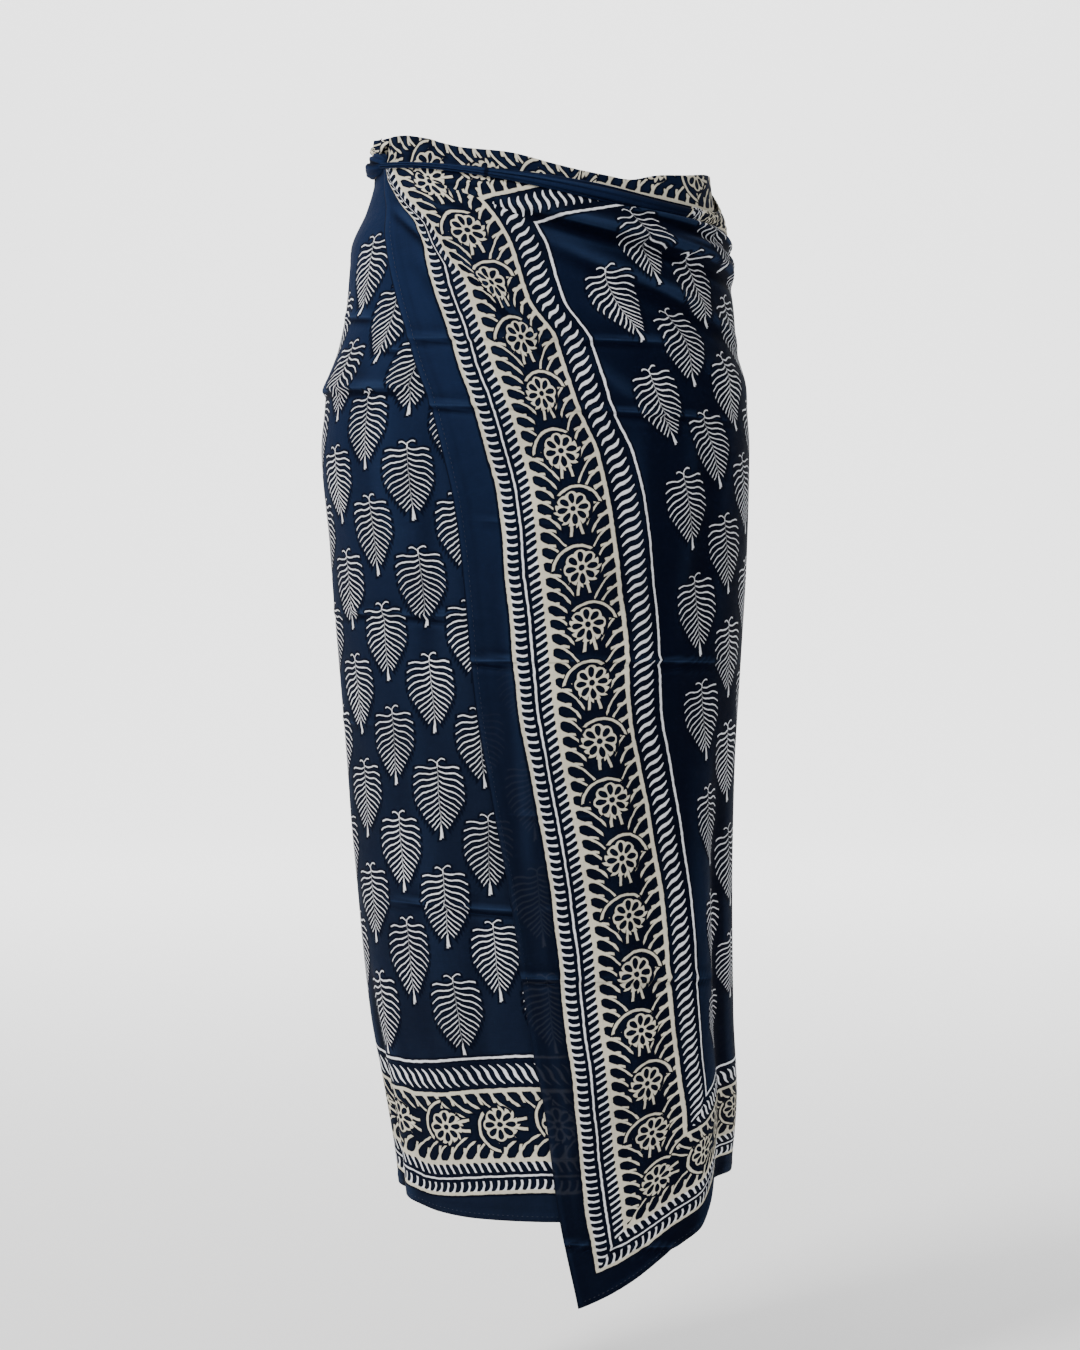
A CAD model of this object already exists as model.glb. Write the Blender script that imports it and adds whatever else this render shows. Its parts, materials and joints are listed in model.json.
"""A wound cotton sarong, indigo with a hand-block print, dressed on its frame.

The cloth is one uncut rectangle. It is wound nearly twice round the figure, its top
border is turned down and rolled, and its corner is knotted on the hip. A place on the
worn cloth is given by its turn, in degrees round the figure from the middle of the
front towards +X, and by its height in millimetres. A turn of 390 is the same direction
as 30, one layer further in. A place in the print is given in millimetres on the flat
cloth: u from the free short edge, and v down from the top edge.
"""

import json
import logging
import math
from dataclasses import dataclass, field
from enum import Enum
from typing import Callable, Optional, Sequence, Union

import bmesh
import bpy
import numpy as np
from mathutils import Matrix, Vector

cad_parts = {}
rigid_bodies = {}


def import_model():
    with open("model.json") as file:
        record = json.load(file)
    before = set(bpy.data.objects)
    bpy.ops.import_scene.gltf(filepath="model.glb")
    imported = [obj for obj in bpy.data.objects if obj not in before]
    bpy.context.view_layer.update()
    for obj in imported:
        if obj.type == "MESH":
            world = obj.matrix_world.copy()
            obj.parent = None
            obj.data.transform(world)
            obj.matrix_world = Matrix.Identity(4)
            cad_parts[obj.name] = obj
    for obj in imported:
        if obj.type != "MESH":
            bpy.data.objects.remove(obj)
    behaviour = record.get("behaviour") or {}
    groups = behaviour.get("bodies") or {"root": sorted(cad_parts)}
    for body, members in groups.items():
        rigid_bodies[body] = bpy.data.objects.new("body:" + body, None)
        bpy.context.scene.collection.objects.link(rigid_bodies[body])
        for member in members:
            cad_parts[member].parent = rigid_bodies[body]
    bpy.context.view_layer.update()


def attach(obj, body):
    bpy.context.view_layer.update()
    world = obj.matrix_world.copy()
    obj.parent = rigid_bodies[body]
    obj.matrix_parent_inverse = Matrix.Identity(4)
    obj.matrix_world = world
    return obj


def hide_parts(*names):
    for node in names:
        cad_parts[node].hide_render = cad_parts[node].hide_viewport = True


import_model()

MM = 0.001

log = logging.getLogger("sarong")

Array = np.ndarray
Rise = Callable[[Array, Array], Array]
Triple = tuple[float, float, float]

# Where one stretch of the cloth ends and the next begins, degrees of turn
SIDE_SEAM = 105.0
BACK_SEAM = 255.0
LAP_SEAM = 390.0
INNER_END = 620.0
BAND_END = 472.0
KNOT_TURN = 288.0
# From here to the knot the band's lower edge eases from level to the roll's line
RISE_START = 225.0
# Lengths round the figure are measured from here
START_TURN = -90.0

# The flat cloth and the layout of its border, millimetres
CLOTH_DROP = 1120.0
SHORT_EDGE_MARGIN = 36.0
LONG_EDGE_MARGIN = 26.0
TOP_EDGE_MARGIN = 75.5

# The cloth's usual distance from the middle of the figure, millimetres
MEAN_REACH = 140.0
# The heights between which the form is measured, millimetres
LOWEST = -990.0
HIGHEST = 46.0
# The over panel's outer face stays this far outside the layer below, and eases onto it
# over this depth, millimetres
LAYER_CLEARANCE = 1.35
FLOOR_BEND = 0.5
# The level part of the band's lower edge, and how far the edge hides behind the roll
BAND_LEVEL = -47.5
BAND_TUCK = 1.5
# The walls start this far under the band, and stay level where the roll opens out
UNDER_BAND = 0.3
ROLL_OPENS = 440.0
# How far the free edge stands loose: evenly, in waves and at its lower corner, and how
# far in from the edge that reaches, millimetres
EDGE_EVEN = 0.5
EDGE_WAVES = 1.1
EDGE_CORNER = 3.0
EDGE_REACH = 14.0
# The shares of a fold's length over which it fades in and out
FADE_IN = 0.35
FADE_OUT = 0.25
# A crease's groove lies this far below its ridge and is this wide, millimetres
GROOVE_BELOW = 1.8
GROOVE_WIDTH = 2.0
# Wear is judged against the cloth this far to each side, and up and down, millimetres
WEAR_ASIDE = 9.0
WEAR_UP = 5.5
# A sharp crease marks the cloth this far from its line, millimetres
CREASE_REACH = 8.0

# Height, left reach, right reach, depth in front and depth behind
SECTIONS = (
    (46, -148, 146, 94, 92),
    (4, -149, 149, 97, 95),
    (-25, -156, 153, 102, 101),
    (-57, -169, 161, 108, 109),
    (-75, -171, 162, 111, 112),
    (-110, -174, 166, 114, 119),
    (-146, -181, 169, 116, 125),
    (-180, -192, 177, 118, 129),
    (-198, -193, 178, 118, 131),
    (-233, -196, 180, 119, 132),
    (-321, -187, 178, 117, 129),
    (-427, -178, 172, 114, 124),
    (-515, -171, 167, 112, 121),
    (-620, -164, 165, 111, 118),
    (-726, -153, 166, 110, 116),
    (-796, -140, 169, 109, 114),
    (-867, -129, 164, 108, 112),
    (-990, -121, 158, 106, 110),
)
SQUARENESS = 2.25


class Curve:
    """A smooth line through a short table's rows, with no overshoot between them."""

    def __init__(self, rows: Sequence[tuple[float, float]]) -> None:
        """Sort the rows and work out a slope at each.

        Args:
            rows: pairs of place and value.
        """
        ordered = sorted(rows)
        self.places = np.array([row[0] for row in ordered], float)
        self.values = np.array([row[1] for row in ordered], float)
        steps = np.diff(self.values) / np.diff(self.places)
        before, after = steps[:-1], steps[1:]
        same_way = before * after > 0
        total = np.where(same_way, before + after, 1.0)
        inner = np.where(same_way, 2.0 * before * after / total, 0.0)
        self.slopes = np.concatenate(([steps[0]], inner, [steps[-1]]))

    def __call__(self, at: Array) -> Array:
        """Return the line's value at each place.

        Args:
            at: places, of any shape.

        Returns:
            The values, of the same shape.
        """
        at = np.clip(at, self.places[0], self.places[-1])
        i = np.clip(np.searchsorted(self.places, at) - 1, 0, len(self.places) - 2)
        span = self.places[i + 1] - self.places[i]
        t = (at - self.places[i]) / span
        return (
            (2 * t**3 - 3 * t**2 + 1) * self.values[i]
            + (t**3 - 2 * t**2 + t) * span * self.slopes[i]
            + (3 * t**2 - 2 * t**3) * self.values[i + 1]
            + (t**3 - t**2) * span * self.slopes[i + 1]
        )


def ease(t: Array) -> Array:
    """Ease from 0 to 1 as t goes from 0 to 1."""
    t = np.clip(t, 0.0, 1.0)
    return t * t * (3.0 - 2.0 * t)


FREE_EDGE = Curve(
    (
        (12, -72.5), (-8, -70), (-32, -64.5), (-68, -59), (-112, -53.5), (-148, -47.5),
        (-199, -39.5), (-242, -34.5), (-284, -31.5), (-368, -29), (-452, -26.5),
        (-537, -21), (-621, -14.5), (-705, -11), (-789, -8), (-874, -4), (-965, 5),
    )
)
HEM = Curve(
    (
        (0, -967), (5, -965), (16, -957), (28, -944), (44, -920), (55, -904), (60, -884),
        (64, -869), (79, -863), (105, -862), (150, -866), (215, -871), (262, -872),
        (285, -878), (306, -889), (323, -892), (356, -893), (392, -886), (425, -862),
        (445, -856), (620, -860),
    )
)
TOP_EDGE = Curve(
    (
        (105, 8), (150, 14), (215, 22), (262, 31), (284, 33), (294, 33), (306, 28),
        (314, 22), (322, 17.5), (342, 12.5), (363, 3), (376, -2.5), (389, -7),
        (399, -10), (411, -4.7), (424, -1.4), (438, 3.6), (472, 8),
    )
)
# The rolled waist edge: turn, middle, half width, and how far it stands out
ROLL = (
    (-73, 9.4, 2.6, 3), (-55, 4.5, 2.6, 3.5), (-40, -0.5, 3.2, 4), (-22, -6.5, 4.2, 4.5),
    (3, -14.5, 6.2, 5.5), (26, -23.5, 7.6, 6), (57, -36, 7.2, 5.5), (72, -38.5, 7.5, 4.5),
    (86, -34, 12, 3), (96, -27, 19, 1.5), (105, -20, 27.5, 0),
)
ROLL_MIDDLE = Curve([(row[0], row[1]) for row in ROLL])
ROLL_HALF_WIDTH = Curve([(row[0], row[2]) for row in ROLL])
ROLL_STAND = Curve([(row[0], row[3]) for row in ROLL])
LAYER_LIFT = Curve(
    ((-90, 2.6), (30, 2.6), (90, 0), (345, 0), (390, -0.9), (450, -3.4), (640, -3.4))
)


class WornForm:
    """The outline of the worn cloth at every height, and lengths measured round it."""

    def __init__(self) -> None:
        """Read the sections and measure the cloth's length round the figure."""
        self.left = Curve([(row[0], row[1]) for row in SECTIONS])
        self.right = Curve([(row[0], row[2]) for row in SECTIONS])
        self.front = Curve([(row[0], row[3]) for row in SECTIONS])
        self.behind = Curve([(row[0], row[4]) for row in SECTIONS])
        self.turns = np.linspace(START_TURN, START_TURN + 360.0, 721)
        self.heights = np.linspace(LOWEST, HIGHEST, 150)
        turn, height = np.meshgrid(self.turns, self.heights)
        points = self.place(turn, height, np.zeros_like(turn))
        steps = np.hypot(np.diff(points[..., 0]), np.diff(points[..., 1])) / MM
        self.lengths = np.concatenate(
            (np.zeros((len(self.heights), 1)), np.cumsum(steps, axis=1)), axis=1
        )

    def place(self, turn: Array, height: Array, lift: Array) -> Array:
        """Return the point at this turn and height, lifted off the outline.

        Args:
            turn: degrees round the figure.
            height: millimetres above the waist.
            lift: millimetres outside the outline.

        Returns:
            Points in metres, with x, y and z along the last axis.
        """
        left, right = self.left(height), self.right(height)
        middle, half_width = (left + right) / 2.0, (right - left) / 2.0
        across = np.sin(np.radians(turn))
        ahead = np.cos(np.radians(turn))
        depth = np.where(ahead > 0, self.front(height), self.behind(height))
        reach = (
            np.abs(across / (half_width + lift)) ** SQUARENESS
            + np.abs(ahead / (depth + lift)) ** SQUARENESS
        ) ** (-1.0 / SQUARENESS)
        x = middle + reach * across
        return np.stack((x, -reach * ahead, height), axis=-1) * MM

    def length_round(self, turn: Array, height: Array) -> Array:
        """Measure the cloth's length from the starting turn to this turn.

        Args:
            turn: degrees round the figure.
            height: millimetres above the waist.

        Returns:
            The length along the outline at this height, in millimetres.
        """
        laps = np.floor((turn - START_TURN) / 360.0)
        column = (turn - START_TURN - 360.0 * laps) / 360.0 * (len(self.turns) - 1)
        share_up = (np.clip(height, LOWEST, HIGHEST) - LOWEST) / (HIGHEST - LOWEST)
        row = share_up * (len(self.heights) - 1)
        i = np.clip(column.astype(int), 0, len(self.turns) - 2)
        j = np.clip(row.astype(int), 0, len(self.heights) - 2)
        s, t = column - i, row - j
        near = self.lengths[j, i] * (1 - s) + self.lengths[j, i + 1] * s
        far = self.lengths[j + 1, i] * (1 - s) + self.lengths[j + 1, i + 1] * s
        whole = self.lengths[j, -1] * (1 - t) + self.lengths[j + 1, -1] * t
        return near * (1 - t) + far * t + laps * whole


@dataclass(frozen=True)
class Fold:
    """A soft ridge or trough that runs over the cloth and dies out at both ends."""

    start_turn: float
    start_height: float
    end_turn: float
    end_height: float
    above: float
    below: float
    rise: float
    bow: float = 0.0
    groove: float = 0.0

    def reach(self, turn: Array, height: Array) -> tuple[Array, Array]:
        """Return how far above the fold's line each place is, and how strong the fold is there.

        Args:
            turn: degrees round the figure.
            height: millimetres above the waist.

        Returns:
            Millimetres above the line, and a share from 0 past the ends to 1.
        """
        run = math.radians(self.end_turn - self.start_turn) * MEAN_REACH
        drop = self.end_height - self.start_height
        length = math.hypot(run, drop)
        right = np.radians(turn - self.start_turn) * MEAN_REACH
        up = height - self.start_height
        along = (right * run + up * drop) / length**2
        off = (up * run - right * drop) / length
        off = off - self.bow * 4.0 * along * (1.0 - along)
        return off, ease(along / FADE_IN) * ease((1.0 - along) / FADE_OUT)

    def lift(self, turn: Array, height: Array) -> Array:
        """Work out how far the fold moves the cloth out.

        Args:
            turn: degrees round the figure.
            height: millimetres above the waist.

        Returns:
            The distance, in millimetres.
        """
        off, ends = self.reach(turn, height)
        width = np.where(off > 0, self.above, self.below)
        from_groove = off + self.below + GROOVE_BELOW
        groove = self.groove * np.exp(-((from_groove / GROOVE_WIDTH) ** 2))
        return ends * (self.rise * np.exp(-((off / width) ** 2)) - groove)


FORM = WornForm()

# Folds that the knot pulls into the over panel
PULL_FOLDS = (
    Fold(-34, -24, 98, -92, 13, 4.2, 10.5, 3.0),
    Fold(-22, -38, 92, -100, 5, 5.5, -3.6, 3.0),
    Fold(28, -33, 100, -64, 7, 4, 4.6, 2.0),
    Fold(48, -54, 100, -84, 4, 3, 2.6, 1.0),
    Fold(-10, -48, 70, -124, 13, 8, 5.4, -2.0),
    Fold(2, -66, 92, -156, 7, 9, -2.8, -3.0),
    Fold(8, -104, 90, -196, 15, 12, 3.4, -3.0),
    Fold(-52, -56, -2, -200, 13, 9, 2.8, 2.0),
    Fold(12, -30, 84, -56, 3, 2.5, 2.2, 3.0),
    Fold(36, -92, 92, -150, 8, 5, 2.6, -3.0),
    Fold(-64, -12, -8, -33, 3.2, 2.2, 2.0, 1.0),
    Fold(-65, -18, -18, -58, 3.2, 2.6, 2.3, 3.0),
    Fold(-63, -26, -30, -94, 3.6, 2.8, 2.0, 3.0),
    Fold(-66, -6, -22, -17, 2.3, 1.8, 1.5),
    Fold(-38, -64, 9, -170, 7, 2.6, 3.4, -1.5, 1.8),
    Fold(-14, -118, 46, -214, 12, 9, 2.6, 5.0),
    Fold(-24, -176, 8, -410, 15, 11, -2.2, 5.0),
    Fold(38, -200, 40, -470, 15, 11, 3.2, -6.0),
    Fold(62, -170, 56, -420, 12, 10, -2.6, 4.0),
    Fold(20, -400, 32, -900, 17, 13, 2.6, 7.0),
    Fold(4, -520, 12, -960, 13, 11, -2.2, -5.0),
    Fold(44, -520, 50, -860, 11, 10, 2.2, 4.0),
    Fold(-16, -300, -6, -640, 12, 10, 1.8, 4.0),
)
# Soft folds that every layer follows
DRAPE_FOLDS = (
    Fold(60, -470, 57, -1040, 17, 17, 5.0),
    Fold(72, -400, 69, -1040, 13, 13, -6.5),
    Fold(292, -660, 293, -1040, 12, 12, 3.0),
    Fold(283, -640, 282, -1040, 9, 9, -4.5),
    Fold(128, -330, 124, -1020, 20, 20, 5.0),
    Fold(146, -420, 143, -1020, 18, 18, -4.0),
    Fold(196, -380, 199, -1040, 24, 24, 5.5),
    Fold(221, -430, 224, -1040, 20, 20, -4.0),
    Fold(243, -300, 247, -1040, 20, 20, 4.0),
    Fold(276, -20, 236, -150, 14, 14, 3.0),
    Fold(274, -6, 214, -84, 12, 12, 2.6),
    Fold(120, -60, 190, -104, 14, 14, 2.4),
    Fold(301, -120, 306, -360, 16, 13, 2.2, 4.0),
    Fold(322, -170, 316, -520, 14, 12, -1.6, -5.0),
    Fold(309, -420, 316, -800, 17, 14, 2.0, 5.0),
    Fold(330, -560, 324, -880, 13, 12, -1.3, 3.0),
    Fold(272, -240, 278, -640, 15, 12, 2.4, 3.0),
    Fold(158, -180, 168, -520, 18, 15, 2.2, 6.0),
    Fold(182, -240, 176, -600, 15, 14, -2.0, -4.0),
    Fold(110, -160, 112, -420, 13, 12, 2.0, 3.0),
)
# Creases left by folding the flat cloth away, nearly level once it is worn
STORAGE_CREASES = (
    Fold(258, -183, 322, -190, 9, 2.0, 3.8, 1.5, 1.6),
    Fold(272, -119, 300, -126, 6, 2.0, 2.2, 1.0, 0.8),
    Fold(296, -150, 318, -158, 4, 2.0, 1.4, 0.0, 0.6),
    Fold(262, -376, 356, -385, 5, 1.5, 2.2, 1.0, 1.5),
    Fold(286, -622, 376, -632, 5, 1.5, 2.3, -1.0, 1.5),
    Fold(262, -470, 300, -474, 4, 1.5, 1.1, 0.0, 0.5),
    Fold(288, -792, 320, -790, 3, 1.5, 1.0, 0.0, 0.4),
    Fold(-80, -144, 70, -150, 6, 2.0, 1.8, -1.0, 0.8),
    Fold(-85, -201, 84, -214, 5, 1.6, 2.0, 1.0, 1.1),
    Fold(-30, -300, 20, -306, 4, 1.6, 1.0, 0.0, 0.4),
    Fold(-78, -420, 92, -421, 4, 1.5, 2.1, 1.5, 1.2),
    Fold(-20, -548, 40, -552, 3, 1.5, 1.0, 0.0, 0.4),
    Fold(-60, -683, 78, -690, 5, 1.5, 2.1, -1.0, 1.2),
    Fold(-40, -905, 60, -918, 4, 1.6, 1.7, 0.0, 0.9),
    Fold(112, -196, 212, -204, 6, 2.0, 2.0, 1.0, 1.0),
    Fold(118, -418, 236, -424, 5, 1.7, 1.8, -1.0, 0.9),
    Fold(120, -640, 250, -634, 5, 1.7, 1.9, 1.0, 0.9),
    Fold(196, -186, 258, -180, 8, 2.2, 2.4, 0.0, 1.0),
)


def folds_lift(folds: Sequence[Fold], turn: Array, height: Array) -> Array:
    """Return the lift of several folds together, in millimetres."""
    return sum((fold.lift(turn, height) for fold in folds), np.zeros_like(turn))


def layer_lift(turn: Array, height: Array) -> Array:
    """Return the outer face's distance from the outline on this layer.

    Args:
        turn: degrees round the figure.
        height: millimetres above the waist.

    Returns:
        The distance, in millimetres, with the folds that every layer follows.
    """
    around = np.mod(turn, 360.0)
    lift = LAYER_LIFT(turn) + folds_lift(DRAPE_FOLDS, around, height)
    return lift + folds_lift(STORAGE_CREASES, turn, height)


def from_free_edge(turn: Array, height: Array) -> Array:
    """Return how far in from the free edge a place is, in millimetres."""
    return FORM.length_round(turn, height) - FORM.length_round(FREE_EDGE(height), height)


def panel_lift(turn: Array, height: Array) -> Array:
    """Return the over panel's outer face, with the knot's pull folds and loose edge.

    Args:
        turn: degrees round the figure.
        height: millimetres above the waist.

    Returns:
        Its distance from the outline, in millimetres, always clear of the layer below.
    """
    from_edge = from_free_edge(turn, height)
    wave = 0.5 + 0.5 * np.sin(height / 37.0) * np.sin(height / 83.0 + 1.0)
    corner = EDGE_CORNER * ease((-height - 800.0) / 160.0)
    loose = (EDGE_EVEN + EDGE_WAVES * wave + corner) * np.exp(-from_edge / EDGE_REACH)
    near_knot = ease((-height - 10.0) / 80.0)
    lift = layer_lift(turn, height) + folds_lift(PULL_FOLDS, turn, height) + loose * near_knot
    above_under_layer = lift - layer_lift(turn + 360.0, height) - LAYER_CLEARANCE
    return lift + (np.hypot(above_under_layer, FLOOR_BEND) - above_under_layer) / 2.0


def roll_bottom(turn: Array) -> Array:
    """Return the height of the rolled edge's lower side."""
    return ROLL_MIDDLE(turn) - ROLL_HALF_WIDTH(turn)


def band_bottom(turn: Array) -> Array:
    """Return the band's lower edge: the roll's own line in front, level elsewhere.

    Args:
        turn: degrees round the figure.

    Returns:
        The edge's height, in millimetres above the waist.
    """
    in_front = roll_bottom(turn - 360.0) + BAND_TUCK
    near_knot = ease((turn - RISE_START) / (KNOT_TURN - RISE_START))
    return BAND_LEVEL + (in_front - BAND_LEVEL) * near_knot


def below_band(turn: Array) -> Array:
    """Return the top of a wall under the band, a little slacker behind the roll."""
    slack = ease((turn - RISE_START) / 10.0)
    return band_bottom(np.minimum(turn, ROLL_OPENS)) - UNDER_BAND - slack


class ClothMap:
    """Where each place on the worn cloth lies in the flat cloth's print."""

    # The knot gathers the free edge's cloth: how much it takes up at each height, how
    # far from the edge that starts, and over what width
    taken_up = Curve(
        (
            (10, 55), (-5, 48), (-25, 38), (-50, 23), (-72, 17), (-115, 15), (-150, 5),
            (-199, 6), (-240, 0),
        )
    )
    taken_from = Curve(((10, -2), (-5, 0), (-25, 3), (-50, 30), (-72, 38), (-115, 76), (-150, 80)))
    taken_over = Curve(((-5, 10), (-25, 24), (-50, 22), (-72, 28), (-115, 34)))
    # What a fold near the right side swallows lower down, and the turn where it starts
    swallow_from = 52.0
    swallowed = Curve(((-790, 45), (-718, 29), (-635, 17), (-551, 11), (-465, 3), (-300, 0)))
    # How far the short edge's border swings towards that edge lower down, and the turn
    # where that has died out
    swing_end = 104.0
    swings_in = Curve(((-940, 15.5), (-811, 10.5), (-729, 6.0), (-640, 2.5), (-540, 0)))
    # How much lower the hem's border hangs round the left side
    hangs_lower = Curve(
        ((256, 0), (266, 3), (275, 9), (284, 14), (296, 13), (309, 10), (324, 5), (337, 2), (350, 0))
    )
    drop_at_edge = Curve(
        ((-900, 162), (-777, 156), (-682, 152), (-487, 149), (-290, 147), (-50, 140))
    )
    # The over panel hangs askew: v grows by this share of the way past this arc
    grain_slope = 0.21
    level_arc = 100.0
    # The leaf rows stand this much higher in the print of the over panel, above its border
    row_shift = 28.0
    rows_end = 975.0
    # The left side: v at the waist, and u where turn 270 crosses the hip
    side_drop = 220.0
    hip_column = 782.0
    # Above the hip the side's leaf columns lean by this share
    hip_height = -187.0
    column_lean = 0.07
    # Behind the left side's long fold the print lies this much lower
    fold_turn = 301.0
    fold_drop = 12.0
    # The pull of the hem's border reaches this far up, and fades by this power
    hem_pull = 200.0
    hem_fade = 1.35
    # Round the waist: the length where u is 0, and v at the waist's fold, on the roll's
    # plain margin and at the roll's upper side
    waist_start = 155.0
    fold_line = 113.0
    margin_line = 58.0
    roll_line = 169.0
    # The turns from which the roll shows its border, and the band follows the roll
    border_from = 64.0
    roll_from = 372.0

    def over(self, turn: Array, height: Array) -> tuple[Array, Array]:
        """Find the place in the print of the over panel.

        Args:
            turn: degrees round the figure.
            height: millimetres above the waist.

        Returns:
            u and v, in millimetres on the flat cloth.
        """
        arc = from_free_edge(turn, height)
        gather = ease((arc - self.taken_from(height)) / self.taken_over(height))
        u = arc + self.taken_up(height) * gather
        u = u + self.swallowed(height) * ease((turn - self.swallow_from) / 18.0)
        u = u + self.swings_in(height) * ease((self.swing_end - turn) / 50.0)
        askew = self.grain_slope * (arc - self.level_arc)
        v = -height + self.drop_at_edge(height) + askew
        hem = HEM(turn)
        at_hem = -hem + self.drop_at_edge(hem) + askew
        return u, v + (CLOTH_DROP - at_hem) * self.near_hem(height - hem)

    def near_hem(self, above_hem: Array) -> Array:
        """Return 1 at the hem, easing to 0 a hand's length above it."""
        return np.clip(1.0 - above_hem / self.hem_pull, 0.0, 1.0) ** self.hem_fade

    def side(self, turn: Array, height: Array) -> tuple[Array, Array]:
        """Find the place in the print of the left side and of what lies under the over panel.

        Args:
            turn: degrees round the figure.
            height: millimetres above the waist.

        Returns:
            u and v, in millimetres on the flat cloth.
        """
        around = FORM.length_round(turn - 360.0, height)
        lean = self.column_lean * np.clip(height - self.hip_height, 0.0, 240.0)
        u = self.hip_column + around - lean
        v = -height + self.side_drop
        hem = HEM(turn)
        v = v + (CLOTH_DROP + hem - self.side_drop) * self.near_hem(height - hem)
        v = v - self.hangs_lower(turn) * ease((-height - 640.0) / 140.0)
        behind_fold = ease((self.fold_turn - turn) / 6.0) * ease((-height - 740.0) / 100.0)
        return u, v + self.fold_drop * behind_fold * (1.0 - self.near_hem(height - hem))

    def back(self, turn: Array, height: Array) -> tuple[Array, Array]:
        """Find the place in the print of the back, between the over panel and the left side.

        Args:
            turn: degrees round the figure.
            height: millimetres above the waist.

        Returns:
            u and v, in millimetres on the flat cloth.
        """
        at_side = np.full_like(turn, SIDE_SEAM)
        at_back = np.full_like(turn, BACK_SEAM)
        start = FORM.length_round(at_side, height)
        end = FORM.length_round(at_back, height)
        s = (FORM.length_round(turn, height) - start) / (end - start)
        u_side, v_side = self.over(at_side, height)
        v_side = v_side + self.row_shift * ease((self.rows_end - v_side) / 90.0)
        u_back, v_back = self.side(at_back, height)
        return u_side + (u_back - u_side) * s, v_side + (v_back - v_side) * ease(s)

    def roll(self, turn: Array, height: Array) -> tuple[Array, Array]:
        """Find the place in the print of the roll: a plain margin, and the border where it opens.

        Args:
            turn: degrees round the figure.
            height: millimetres above the waist.

        Returns:
            u and v, in millimetres on the flat cloth.
        """
        u = FORM.length_round(turn, np.zeros_like(height)) - self.waist_start
        v = self.fold_line + TOP_EDGE(turn) - height
        opens = ease((turn - self.border_from - height * 0.35) / 26.0)
        return u, self.margin_line + (v - self.margin_line) * opens

    def band(self, turn: Array, height: Array) -> tuple[Array, Array]:
        """Find the place in the print of the top band, whose border stands above the roll.

        Args:
            turn: degrees round the figure.
            height: millimetres above the waist.

        Returns:
            u and v, in millimetres on the flat cloth.
        """
        u = FORM.length_round(turn, np.zeros_like(height)) - self.waist_start
        from_top = self.fold_line + TOP_EDGE(turn) - height
        roll_top = ROLL_MIDDLE(turn - 360.0) + ROLL_HALF_WIDTH(turn - 360.0)
        from_roll = self.roll_line + roll_top - height
        return u, from_top + (from_roll - from_top) * ease((turn - self.roll_from) / 14.0)


CLOTH_MAP = ClothMap()


def thicken(piece: bpy.types.Object, thickness: float) -> None:
    """Give a sheet of cloth its thickness, inwards from its outer face.

    Args:
        piece: the sheet.
        thickness: millimetres.
    """
    solid = piece.modifiers.new("thickness", "SOLIDIFY")
    solid.thickness = thickness * MM
    solid.offset = -1.0
    for thing in bpy.context.view_layer.objects:
        thing.select_set(False)
    bpy.context.view_layer.objects.active = piece
    piece.select_set(True)
    bpy.ops.object.modifier_apply(modifier=solid.name)
    piece.select_set(False)


def quad_corners(rows: int, columns: int, closed_round: bool = False) -> Array:
    """Return the places of each quad's corners in a grid, one quad a row.

    Args:
        rows: the grid's rows.
        columns: its columns.
        closed_round: whether the last row meets the first.

    Returns:
        Quads by four.
    """
    index = np.arange(rows * columns).reshape(rows, columns)
    if closed_round:
        index = np.concatenate((index, index[:1]), axis=0)
    return np.stack(
        (index[:-1, :-1], index[:-1, 1:], index[1:, 1:], index[1:, :-1]), axis=-1
    ).reshape(-1, 4)


def grid_mesh(
    name: str,
    points: Array,
    maps: dict[str, Array],
    closed_round: bool = False,
) -> bpy.types.Object:
    """Build a sheet of quads through a grid of points.

    Args:
        name: the piece's name.
        points: rows by columns by three, in metres.
        maps: UV maps by name, each rows by columns by two.
        closed_round: whether the last row meets the first.

    Returns:
        The new object, linked to the scene.
    """
    rows, columns = points.shape[:2]
    quads = quad_corners(rows, columns, closed_round)
    mesh = bpy.data.meshes.new(name)
    mesh.vertices.add(rows * columns)
    mesh.vertices.foreach_set("co", points.reshape(-1).astype(np.float32))
    mesh.loops.add(quads.size)
    mesh.loops.foreach_set("vertex_index", quads.reshape(-1).astype(np.int32))
    mesh.polygons.add(len(quads))
    mesh.polygons.foreach_set("loop_start", np.arange(0, quads.size, 4, dtype=np.int32))
    mesh.update(calc_edges=True)
    corner = quad_corners(rows + closed_round, columns).reshape(-1)
    for map_name, values in maps.items():
        if closed_round:
            values = np.concatenate((values, values[-1:] * 2.0 - values[-2:-1]), axis=0)
        layer = mesh.uv_layers.new(name=map_name)
        flat = values.reshape(-1, 2)[corner]
        layer.data.foreach_set("uv", flat.reshape(-1).astype(np.float32))
    mesh.validate()
    mesh.shade_smooth()
    piece = bpy.data.objects.new(name, mesh)
    bpy.context.scene.collection.objects.link(piece)
    return piece


def whole_map(rows: int, columns: int, closed_round: bool = False) -> Array:
    """Return a UV map that fills the unit square, for baking.

    Args:
        rows: the grid's rows.
        columns: its columns.
        closed_round: whether the last row meets the first.

    Returns:
        The map, rows by columns by two.
    """
    count = rows + 1 if closed_round else rows
    s, t = np.meshgrid(np.linspace(0.002, 0.998, columns), np.linspace(0.002, 0.998, count))
    return np.stack((s, t), axis=-1)[:rows]


def print_map(u: Array, v: Array) -> Array:
    """Return a UV map of places on the flat cloth, in metres."""
    return np.stack((u, v), axis=-1) * MM


def ridge_map(ridge: Array) -> Array:
    """Return a UV map of the wear: above 0 on ridges and below 0 in troughs."""
    return np.stack((ridge, np.zeros_like(ridge)), axis=-1)


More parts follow.
